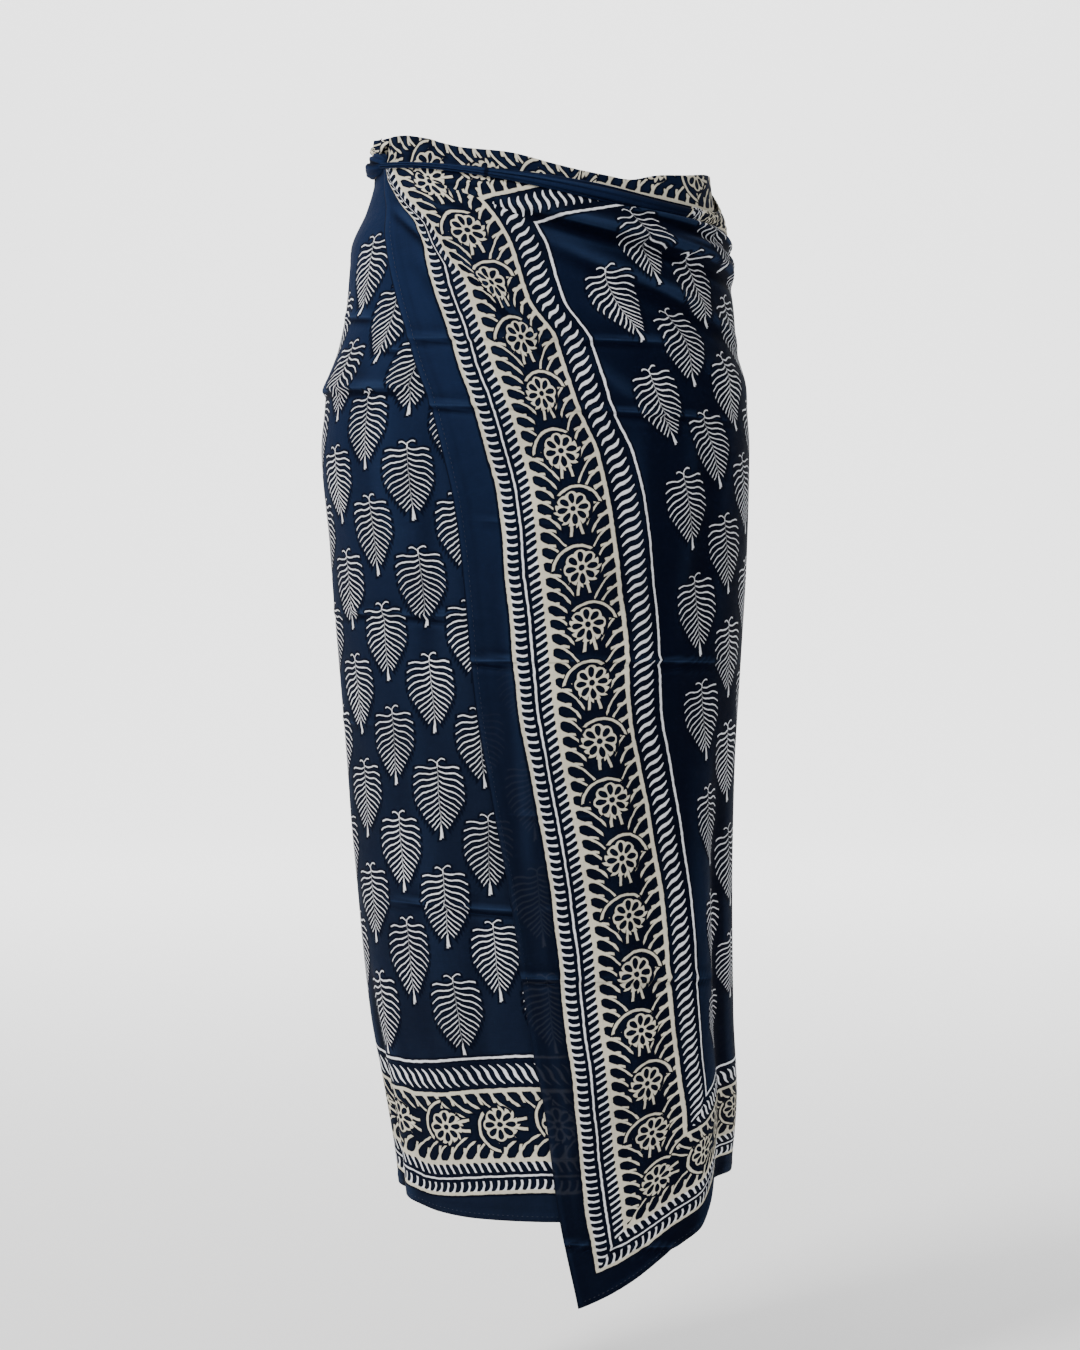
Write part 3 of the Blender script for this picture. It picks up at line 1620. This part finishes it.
# UV maps of the print are in metres, and the print is laid out in millimetres
IN_MM = 1000.0


def weave_effect() -> Effect:
    """Build the plain weave's node group.

    Returns:
        A group that takes a place on the cloth and gives the threads' height, the
        cloth's shallow creasing, and the tone of the unevenly dyed yarn.
    """
    made = Effect("plain_weave", (("Along", 0.0), ("Down", 0.0)), ("Height", "Rumple", "Tone"))
    u, v = made.given("Along"), made.given("Down")
    over = (u * (2.0 * math.pi / WEAVE_PITCH)).wave()
    under = (v * (2.0 * math.pi / WEAVE_PITCH)).wave()
    made.gives("Height", over * under * 0.5 + 0.5)
    slub_across, _ = noise(made.tree, u * 0.04, v * 1.6, 1.0, 2.0)
    slub_down, _ = noise(made.tree, u * 1.6, v * 0.04, 1.0, 2.0)
    fade, mottle = noise(made.tree, u, v, 0.013, 3.0)
    tone = (slub_across + slub_down - 1.0) * 0.5 + (fade - 0.5) * 0.9 + (mottle - 0.5) * 0.4
    made.gives("Tone", tone)
    rumple, _ = noise(made.tree, u, v * 1.3, 0.035, 3.0)
    made.gives("Rumple", rumple)
    return made


class Dye(Enum):
    """The colours that show on the cloth, as linear red, green and blue."""

    INDIGO = (0.0068, 0.0160, 0.0500)
    SHADED = (0.0052, 0.0098, 0.0250)
    DEEP = (0.0003, 0.0015, 0.0078)
    WORN = (0.0210, 0.0420, 0.1000)
    WHITE = (0.81, 0.83, 0.88)
    CREAM = (0.64, 0.60, 0.48)


def dye_mix(
    tree: bpy.types.NodeTree, factor: Value, first: bpy.types.NodeSocket, second: bpy.types.NodeSocket
) -> bpy.types.NodeSocket:
    """Mix two colours by a factor.

    Args:
        tree: the nodes it goes in.
        factor: 0 for the first colour, 1 for the second.
        first: the first colour.
        second: the second colour.

    Returns:
        The mixed colour.
    """
    node = tree.nodes.new("ShaderNodeMix")
    node.data_type = "RGBA"
    tree.links.new(factor.socket, node.inputs[0])
    tree.links.new(first, node.inputs[6])
    tree.links.new(second, node.inputs[7])
    return node.outputs[2]


def dyed(tree: bpy.types.NodeTree, dye: Dye) -> bpy.types.NodeSocket:
    """Give a dye's colour to the nodes.

    Args:
        tree: the nodes it goes in.
        dye: the dye.

    Returns:
        The colour.
    """
    node = tree.nodes.new("ShaderNodeRGB")
    node.outputs[0].default_value = (*dye.value, 1.0)
    return node.outputs[0]


@dataclass(frozen=True)
class PrintedCotton:
    """Thin indigo cotton, with or without the block print."""

    name: str
    weave: Effect
    block_print: Optional[Effect] = None
    leaf_row: float = LEAF_ROW
    first_row: float = FIRST_ROW
    strength: float = 1.0
    shows_beneath: float = 0.0
    deepens_from: float = 30.0
    deepens_over: float = 190.0
    deepens_by: float = 0.0
    pales_from: float = 5000.0
    pales_over: float = 300.0
    creased: bool = True
    # The ground turns from indigo to its shaded tone from this far down, over this length
    shades_from: float = 220.0
    shades_over: float = 520.0
    # How strongly troughs, worn ridges, crease lines and the dye round the print show
    trough_depth: float = 0.85
    ridge_wear: float = 0.45
    line_strength: float = 0.6
    halo_depth: float = 0.92
    # How much the uneven yarn changes the tone, the roughness and the print's edge
    yarn_tone: float = 0.55
    yarn_roughness: float = 0.12
    yarn_edge: float = 0.35
    roughness: float = 0.80
    specular: float = 0.05
    sheen: float = 0.006
    sheen_roughness: float = 0.45
    sheen_tint: Triple = (0.55, 0.65, 0.85)
    # The heights of the rumples and of the threads, metres
    rumple_height: float = 0.003
    thread_height: float = 0.00012

    def numbers(self, tree: bpy.types.NodeTree, map_name: str, scale: float) -> tuple[Value, Value]:
        """Read a UV map's two numbers.

        Args:
            tree: the material's nodes.
            map_name: the UV map's name.
            scale: what both numbers are multiplied by.

        Returns:
            The two numbers.
        """
        uv = tree.nodes.new("ShaderNodeUVMap")
        uv.uv_map = map_name
        parts = tree.nodes.new("ShaderNodeSeparateXYZ")
        tree.links.new(uv.outputs[0], parts.inputs[0])
        return Value(tree, parts.outputs[0]) * scale, Value(tree, parts.outputs[1]) * scale

    def ground(
        self, tree: bpy.types.NodeTree, u: Value, v: Value, tone: Value
    ) -> bpy.types.NodeSocket:
        """Return the dyed ground: paler on worn ridges, deeper in troughs and lower down.

        Args:
            tree: the material's nodes.
            u: millimetres from the free edge on the flat cloth.
            v: millimetres down from its top edge.
            tone: the yarn's uneven tone.

        Returns:
            The ground's colour.
        """
        lower = ((v - self.shades_from) / self.shades_over + tone * 0.5).clamp()
        colour = dye_mix(tree, lower, dyed(tree, Dye.INDIGO), dyed(tree, Dye.SHADED))
        if self.deepens_by > 0.0:
            across = (u - self.deepens_from) / self.deepens_over
            down = ((v - 150.0) / 1200.0).most(0.0)
            pales = ((u - self.pales_from) / self.pales_over).clamp()
            deeper = (across.most(0.0) + down).clamp() * (1.0 - pales) * self.deepens_by
            colour = dye_mix(tree, deeper, colour, dyed(tree, Dye.DEEP))
        ridge, _ = self.numbers(tree, "Wear", 1.0)
        trough = (ridge * -0.60).clamp() * self.trough_depth
        colour = dye_mix(tree, trough, colour, dyed(tree, Dye.DEEP))
        crest = (ridge * 0.36).clamp() * self.ridge_wear
        return dye_mix(tree, crest, colour, dyed(tree, Dye.WORN))

    def printed(
        self,
        tree: bpy.types.NodeTree,
        colour: bpy.types.NodeSocket,
        place: tuple[Value, Value],
        tone: Value,
    ) -> bpy.types.NodeSocket:
        """Return the ground with the block print on it.

        Args:
            tree: the material's nodes.
            colour: the dyed ground.
            place: u and v on the flat cloth.
            tone: the yarn's uneven tone.

        Returns:
            The printed cloth's colour.
        """
        u, v = place
        rows = {"Leaf row": self.leaf_row, "First row": self.first_row}
        used = self.block_print.used(tree, Along=u, Down=v, **rows)
        depth = used["Depth"] + tone * self.yarn_edge
        pale = (depth / 0.55 + 0.5).clamp() * self.strength
        halo = (depth / 1.2 + 2.2).clamp().most(used["Border"] * 0.62) * self.halo_depth
        colour = dye_mix(tree, halo, colour, dyed(tree, Dye.DEEP))
        if self.shows_beneath > 0.0:
            under_u, under_v = self.numbers(tree, "Beneath", IN_MM)
            below = self.block_print.used(tree, Along=under_u, Down=under_v)
            single = ((SHORT_EDGE_MARGIN - u) / 6.0).least((v - 520.0) / 250.0).clamp()
            seen = (below["Depth"] / 1.6 + 0.5).clamp() * single * self.shows_beneath
            colour = dye_mix(tree, seen, colour, dyed(tree, Dye.WHITE))
        edge = (1.6 - u).least(u + 3.0).clamp() * 0.85
        colour = dye_mix(tree, edge, colour, dyed(tree, Dye.DEEP))
        light = dye_mix(tree, used["Cream"], dyed(tree, Dye.WHITE), dyed(tree, Dye.CREAM))
        return dye_mix(tree, pale, colour, light)

    def material(self) -> bpy.types.Material:
        """Build the material.

        Returns:
            The material.
        """
        made = bpy.data.materials.new(self.name)
        made.use_nodes = True
        tree = made.node_tree
        shader = tree.nodes["Principled BSDF"]
        u, v = self.numbers(tree, "Cloth", IN_MM)
        threads = self.weave.used(tree, Along=u, Down=v)
        tone = threads["Tone"]
        colour = self.ground(tree, u, v, tone)
        rumple = threads["Rumple"]
        if self.creased:
            crest, trough = self.crease_lines(tree, tone)
            colour = dye_mix(tree, crest * self.line_strength, colour, dyed(tree, Dye.WORN))
            rumple = rumple + (crest - trough) * 0.10
        if self.block_print is not None:
            colour = self.printed(tree, colour, (u, v), tone)
        if self.creased:
            colour = dye_mix(tree, trough * self.line_strength, colour, dyed(tree, Dye.DEEP))
        bright = tree.nodes.new("ShaderNodeHueSaturation")
        tree.links.new((tone * self.yarn_tone + 1.0).socket, bright.inputs["Value"])
        tree.links.new(colour, bright.inputs["Color"])
        tree.links.new(bright.outputs[0], shader.inputs["Base Color"])
        rough = tone * self.yarn_roughness + self.roughness
        tree.links.new(rough.socket, shader.inputs["Roughness"])
        shader.inputs["Specular IOR Level"].default_value = self.specular
        shader.inputs["Sheen Weight"].default_value = self.sheen
        shader.inputs["Sheen Roughness"].default_value = self.sheen_roughness
        shader.inputs["Sheen Tint"].default_value = (*self.sheen_tint, 1.0)
        self.relief(shader, rumple, threads["Height"])
        return made

    def crease_lines(self, tree: bpy.types.NodeTree, tone: Value) -> tuple[Value, Value]:
        """Find the sharp worn crest of each storage crease and the thin dark line under it.

        Args:
            tree: the material's nodes.
            tone: the yarn's uneven tone.

        Returns:
            How strong the crest is, and the dark line, each from 0 to 1.
        """
        off, clear = self.numbers(tree, "Creases", 1.0)
        clear = clear * (tone * 1.6 + 0.85).clamp()
        crest = (off.size() * -0.9 + 1.0).clamp() * clear
        trough = ((off + 2.1).size() * -0.75 + 1.0).clamp() * clear
        return crest, trough

    def relief(self, shader: bpy.types.Node, rumple: Value, threads: Value) -> None:
        """Raise the threads and the faint rumples.

        Args:
            shader: the material's shader.
            rumple: the height of the rumples and creases.
            threads: the height of the threads.
        """
        tree = rumple.tree
        soft = tree.nodes.new("ShaderNodeBump")
        soft.inputs["Strength"].default_value = 0.6
        soft.inputs["Distance"].default_value = self.rumple_height
        tree.links.new(rumple.socket, soft.inputs["Height"])
        fine = tree.nodes.new("ShaderNodeBump")
        fine.inputs["Strength"].default_value = 0.45
        fine.inputs["Distance"].default_value = self.thread_height
        tree.links.new(threads.socket, fine.inputs["Height"])
        tree.links.new(soft.outputs[0], fine.inputs["Normal"])
        tree.links.new(fine.outputs[0], shader.inputs["Normal"])


@dataclass(frozen=True)
class HemThread:
    """The plain indigo sewing thread."""

    name: str = "hem_thread"
    colour: Triple = (0.0042, 0.0085, 0.0230)
    roughness: float = 0.7

    def material(self) -> bpy.types.Material:
        """Build the material.

        Returns:
            The material.
        """
        made = bpy.data.materials.new(self.name)
        made.use_nodes = True
        shader = made.node_tree.nodes["Principled BSDF"]
        shader.inputs["Base Color"].default_value = (*self.colour, 1.0)
        shader.inputs["Roughness"].default_value = self.roughness
        return made


@dataclass
class WaistRoll:
    """The rolled waist edge: a soft twisted roll that opens out at the right side."""

    columns: int = 380
    rows: int = 96
    first_turn: float = -74.0
    last_turn: float = 105.0
    wall: float = 0.5
    # How deep the creases go, and the turn from which the roll flattens and opens out
    crease_share: float = 0.42
    opens_from: float = 70.0
    # How worn the roll's crest is, and how dark its creases are
    crest_wear: float = 2.2
    crease_wear: float = 3.4
    # Each crease's place round the roll, sway, sway's pitch, width and weight
    crease_rows: tuple[tuple[float, ...], ...] = (
        (1.02, 0.26, 34.0, 0.16, 1.0),
        (1.72, 0.20, 47.0, 0.13, 0.75),
        (2.26, 0.24, 41.0, 0.15, 1.0),
        (0.52, 0.16, 28.0, 0.12, 0.6),
    )

    def creases(self, around: Array, turn: Array) -> Array:
        """Lay the lengthwise creases along the roll.

        Args:
            around: the angle round the roll, in radians.
            turn: degrees round the figure.

        Returns:
            How deep they lie, from 0 to about 1.
        """
        depth = np.zeros_like(around)
        for start, sway, pitch, width, weight in self.crease_rows:
            line = start + sway * np.sin(turn / pitch + start * 3.0)
            fade = 0.65 + 0.35 * np.sin(turn / 19.0 + start * 5.0)
            depth += weight * fade * np.exp(-(((around - line) / width) ** 2))
        return depth

    def build(self, finish: bpy.types.Material) -> bpy.types.Object:
        """Build the roll as a closed sleeve and dress it.

        Args:
            finish: its material.

        Returns:
            The finished piece.
        """
        s = np.linspace(0.0, 1.0, self.columns + 1)
        angles = np.linspace(0.0, 2.0 * math.pi, self.rows, endpoint=False)
        turn, around = np.meshgrid(self.first_turn + (self.last_turn - self.first_turn) * s, angles)
        half = ROLL_HALF_WIDTH(turn)
        stand = ROLL_STAND(turn) * (1.0 + 0.10 * np.sin(turn / 9.0) * np.sin(turn / 23.0))
        front = np.clip(np.sin(around), 0.0, None)
        height = ROLL_MIDDLE(turn) + half * np.cos(around)
        bulge = front ** 0.8 * stand
        creases = self.creases(around, turn)
        depth = creases * np.minimum(stand, 4.5) * self.crease_share
        flat = ease((turn - self.opens_from) / 30.0)
        behind = np.clip(-np.sin(around), 0.0, None)
        base = layer_lift(turn, height) + folds_lift(PULL_FOLDS, turn, height) * flat
        lift = base + self.wall + bulge - depth * front - behind * 0.8
        points = FORM.place(turn, height, lift)
        shine = np.exp(-(((around - 1.25) / 0.30) ** 2)) * ease((60.0 - turn) / 80.0)
        wear = self.crest_wear * shine - self.crease_wear * creases
        maps = {
            "OFBake": whole_map(*turn.shape, closed_round=True),
            "Cloth": print_map(*CLOTH_MAP.roll(turn, height)),
            "Wear": ridge_map(wear),
        }
        piece = grid_mesh("waist_roll_cloth", points, maps, closed_round=True)
        close_ends(piece)
        piece.data.materials.append(finish)
        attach(piece, "root")
        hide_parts("waist_roll")
        return piece


def close_ends(piece: bpy.types.Object) -> None:
    """Close the open ends of a sleeve and turn its faces outwards.

    Args:
        piece: the sleeve.
    """
    body = bmesh.new()
    body.from_mesh(piece.data)
    rims = [edge for edge in body.edges if edge.is_boundary]
    bmesh.ops.holes_fill(body, edges=rims, sides=0)
    bmesh.ops.recalc_face_normals(body, faces=body.faces)
    body.to_mesh(piece.data)
    body.free()
    piece.data.shade_smooth()


@dataclass
class HipKnot:
    """The small tight knot on the left hip, its cloth drawn in at both ends."""

    first_turn: float = -90.5
    last_turn: float = -71.0
    bottom: float = 2.0
    top: float = 22.5
    stand: float = 8.5
    twist: float = 0.9
    # How far the knot's ends lie above and below its middle, and how far it stays off
    # the cloth below, millimetres
    tilt: float = 1.0
    clearance: float = 1.2
    # The lens-shaped crease: its place round the knot, half width and depth
    lens_place: float = 1.12
    lens_width: float = 0.17
    lens_depth: float = 0.34
    columns: int = 90
    rows: int = 96

    def build(self, finish: bpy.types.Material) -> bpy.types.Object:
        """Build the knot as a drawn-in lump and dress it.

        Args:
            finish: its material.

        Returns:
            The finished piece.
        """
        run = np.linspace(0.02, math.pi - 0.02, self.columns + 1)
        angles = np.linspace(0.0, 2.0 * math.pi, self.rows, endpoint=False)
        along, around = np.meshgrid(run, angles)
        twisted = around + self.twist * np.cos(along)
        pleats = (
            0.07 * np.abs(np.sin(twisted * 1.5 + 0.4)) ** 0.6
            + 0.035 * np.sin(twisted * 7.0 + 1.3)
            + 0.02 * np.sin(twisted * 12.0)
        )
        taper = np.sqrt(np.clip(1.0 - (np.cos(along) / 0.85) ** 2, 0.0, 1.0))
        opening = self.lens_width * taper + 0.04
        ends = ease((0.95 - np.abs(np.cos(along))) * 4.0)
        lens = np.exp(-(((twisted - self.lens_place) / opening) ** 2)) * ends
        girth = np.sin(along) ** 0.7 * (0.93 + pleats - self.lens_depth * lens)
        half_turn = (self.last_turn - self.first_turn) / 2.0
        turn = (self.first_turn + self.last_turn) / 2.0 - np.cos(along) * half_turn
        middle = (self.bottom + self.top) / 2.0 - self.tilt * np.cos(along)
        height = middle + (self.top - self.bottom) / 2.0 * girth * np.cos(around)
        out = np.sin(around) * girth * self.stand
        base = layer_lift(turn + 360.0, height) + self.clearance
        lift = base + np.where(out > 0, out, out * 0.12)
        points = FORM.place(turn, height, lift)
        wear = 14.0 * (pleats - 0.06) - 4.5 * lens
        maps = {
            "OFBake": whole_map(*turn.shape, closed_round=True),
            "Cloth": print_map(along * 9.0, around * 8.0),
            "Wear": ridge_map(wear),
        }
        piece = grid_mesh("hip_knot", points, maps, closed_round=True)
        close_ends(piece)
        piece.data.materials.append(finish)
        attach(piece, "root")
        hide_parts("knot")
        return piece


@dataclass
class KnotEnd:
    """The small corner of printed cloth that stands up above the knot."""

    first_turn: float = -86.0
    last_turn: float = -70.0
    bottom: float = 18.0
    top: float = 35.0
    thickness: float = 0.5
    clearance: float = 2.6
    ripple: float = 1.6
    columns: int = 60
    rows: int = 40

    def build(self, finish: bpy.types.Material) -> bpy.types.Object:
        """Build the rippled end and dress it.

        Args:
            finish: its material.

        Returns:
            The finished piece.
        """
        columns = np.linspace(0.0, 1.0, self.columns + 1)
        s, t = np.meshgrid(columns, np.linspace(0.0, 1.0, self.rows + 1))
        fan = 0.35 + 0.65 * ease(t * 1.2)
        across = (s - 0.5) * fan
        middle = (self.first_turn + self.last_turn) / 2.0
        turn = middle + across * (self.last_turn - self.first_turn) + 1.5 * (1.0 - t)
        peak = self.top - 5.0 * (2.0 * s - 1.0) ** 2 - 1.4 * np.abs(np.sin(s * 9.0))
        height = self.bottom + (peak - self.bottom) * t
        ripple = self.ripple * ease(t * 1.4) * np.sin(s * 15.0 + 1.5 * t)
        below = layer_lift(turn + 360.0, height)
        lift = below + self.clearance + ripple + 1.5 * np.sin(t * math.pi)
        points = FORM.place(turn, height, lift)
        maps = {
            "OFBake": whole_map(*turn.shape),
            "Cloth": print_map(s * 34.0 + 96.0, t * -24.0 + 150.0),
            "Wear": ridge_map(ripple),
            "Creases": np.zeros((*turn.shape, 2)),
        }
        piece = grid_mesh("knot_end_cloth", points, maps)
        thicken(piece, self.thickness)
        piece.data.materials.append(finish)
        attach(piece, "root")
        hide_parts("knot_end")
        return piece


@dataclass
class HemStitches:
    """The row of small running stitches that holds the narrow turned hems."""

    pitch: float = 4.2
    length: float = 2.3
    width: float = 0.55
    thickness: float = 0.22
    above_cloth: float = 0.12
    above_edge: float = 4.6
    # The cloth's distance from the middle of the figure at its free edge
    edge_radius: float = 118.0

    def stitch(self, start: Vector, end: Vector, out: Vector, body: bmesh.types.BMesh) -> None:
        """Add one rounded stitch that dips into the cloth at both ends.

        Args:
            start: one end, in metres.
            end: the other end.
            out: the cloth's outward direction.
            body: the mesh it goes in.
        """
        run = end - start
        aside = run.normalized().cross(out) * (self.width * MM / 2.0)
        rise = out * (self.thickness * MM)
        rings = []
        for place, swell in ((0.0, 0.4), (0.25, 1.0), (0.75, 1.0), (1.0, 0.4)):
            middle = start + run * place + rise * (swell * 1.6 - 1.1)
            rings.append(
                [
                    body.verts.new(middle + aside * swell),
                    body.verts.new(middle + rise * swell),
                    body.verts.new(middle - aside * swell),
                    body.verts.new(middle - rise * swell),
                ]
            )
        for near, far in zip(rings, rings[1:]):
            for k in range(4):
                body.faces.new((near[k], near[(k + 1) % 4], far[(k + 1) % 4], far[k]))
        body.faces.new(rings[0][::-1])
        body.faces.new(rings[-1])

    def rows(self) -> list[tuple[Array, Array, Rise]]:
        """Lay out the rows: two hems and the free edge in front, one at the side, one behind.

        Returns:
            Each row's turns, heights, and what gives its distance from the outline.
        """
        turns = np.arange(7.0, 103.0, 0.1)
        heights = np.arange(-955.0, -40.0, 0.5)
        edge_turn = FREE_EDGE(heights) + np.degrees(self.above_edge / self.edge_radius)
        under = np.arange(256.0, 389.0, 0.1)
        behind = np.arange(107.0, 254.0, 0.1)
        return [
            (turns, HEM(turns) + self.above_edge, panel_lift),
            (edge_turn, heights, panel_lift),
            (under, HEM(under) + self.above_edge, layer_lift),
            (behind, HEM(behind) + self.above_edge, layer_lift),
        ]

    def build(self, finish: bpy.types.Material) -> bpy.types.Object:
        """Sew every row and dress it.

        Args:
            finish: the thread's material.

        Returns:
            The finished piece.
        """
        body = bmesh.new()
        for turn, height, lift in self.rows():
            level = lift(turn, height)
            line = FORM.place(turn, height, level + self.above_cloth)
            outer = FORM.place(turn, height, level + 2.0)
            steps = np.linalg.norm(np.diff(line, axis=0), axis=1) / MM
            run = np.concatenate(([0.0], np.cumsum(steps)))
            for start in np.arange(1.0, run[-1] - self.pitch, self.pitch):
                i, j = np.searchsorted(run, (start, start + self.length))
                out = Vector(outer[i] - line[i]).normalized()
                self.stitch(Vector(line[i]), Vector(line[j]), out, body)
        bmesh.ops.recalc_face_normals(body, faces=body.faces)
        mesh = bpy.data.meshes.new("hem_stitches")
        body.to_mesh(mesh)
        body.free()
        mesh.shade_smooth()
        piece = bpy.data.objects.new("hem_stitches", mesh)
        bpy.context.scene.collection.objects.link(piece)
        piece.data.materials.append(finish)
        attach(piece, "root")
        return piece


@dataclass
class Sarong:
    """The whole worn cloth: its prints, its small pieces and its five walls."""

    def finishes(self) -> dict[str, bpy.types.Material]:
        """Build the cotton finishes and the sewing thread.

        Returns:
            The materials, by name.
        """
        weave = weave_effect()
        block = BlockPrint().effect()
        cottons = (
            PrintedCotton(
                "printed_cotton_over",
                weave,
                block,
                leaf_row=905.0,
                shows_beneath=0.016,
                deepens_by=0.86,
            ),
            PrintedCotton(
                "printed_cotton_back",
                weave,
                block,
                first_row=240.0,
                deepens_by=0.86,
                pales_from=370.0,
            ),
            PrintedCotton("printed_cotton_under", weave, block, first_row=270.0),
            PrintedCotton("cotton_inside", weave, block, first_row=270.0, strength=0.45),
            PrintedCotton(
                "waist_cotton",
                weave,
                block,
                deepens_from=-8.0,
                deepens_over=200.0,
                deepens_by=0.93,
                creased=False,
            ),
            PrintedCotton("knot_cotton", weave, creased=False),
            HemThread(),
        )
        return {cotton.name: cotton.material() for cotton in cottons}

    def small_pieces(self, finish: dict[str, bpy.types.Material]) -> list[bpy.types.Object]:
        """Build the roll, the knot, its end and the stitches.

        Args:
            finish: the finishes by name.

        Returns:
            The pieces, none of which hangs by itself.
        """
        return [
            WaistRoll().build(finish["waist_cotton"]),
            HipKnot().build(finish["knot_cotton"]),
            KnotEnd().build(finish["printed_cotton_under"]),
            HemStitches().build(finish["hem_thread"]),
        ]

    def build(self) -> list[bpy.types.Object]:
        """Build every piece.

        Returns:
            The pieces, in the order they were built.
        """
        finish = self.finishes()
        small = self.small_pieces(finish)
        under = finish["printed_cotton_under"]
        walls = [
            InnerLap().build(finish["cotton_inside"]),
            ClothWall().build(finish["printed_cotton_back"]),
            SideWrap().build(under),
            OverPanel().build(finish["printed_cotton_over"], small),
            TopBand().build(under),
        ]
        return small + walls


def main() -> None:
    """Set up the studio, build the sarong and report each piece."""
    logging.basicConfig(level=logging.INFO, format="%(name)s: %(message)s")
    Studio().build()
    for piece in Sarong().build():
        log.info("%s: %d faces", piece.name, len(piece.data.polygons))


if __name__ == "__main__":
    main()
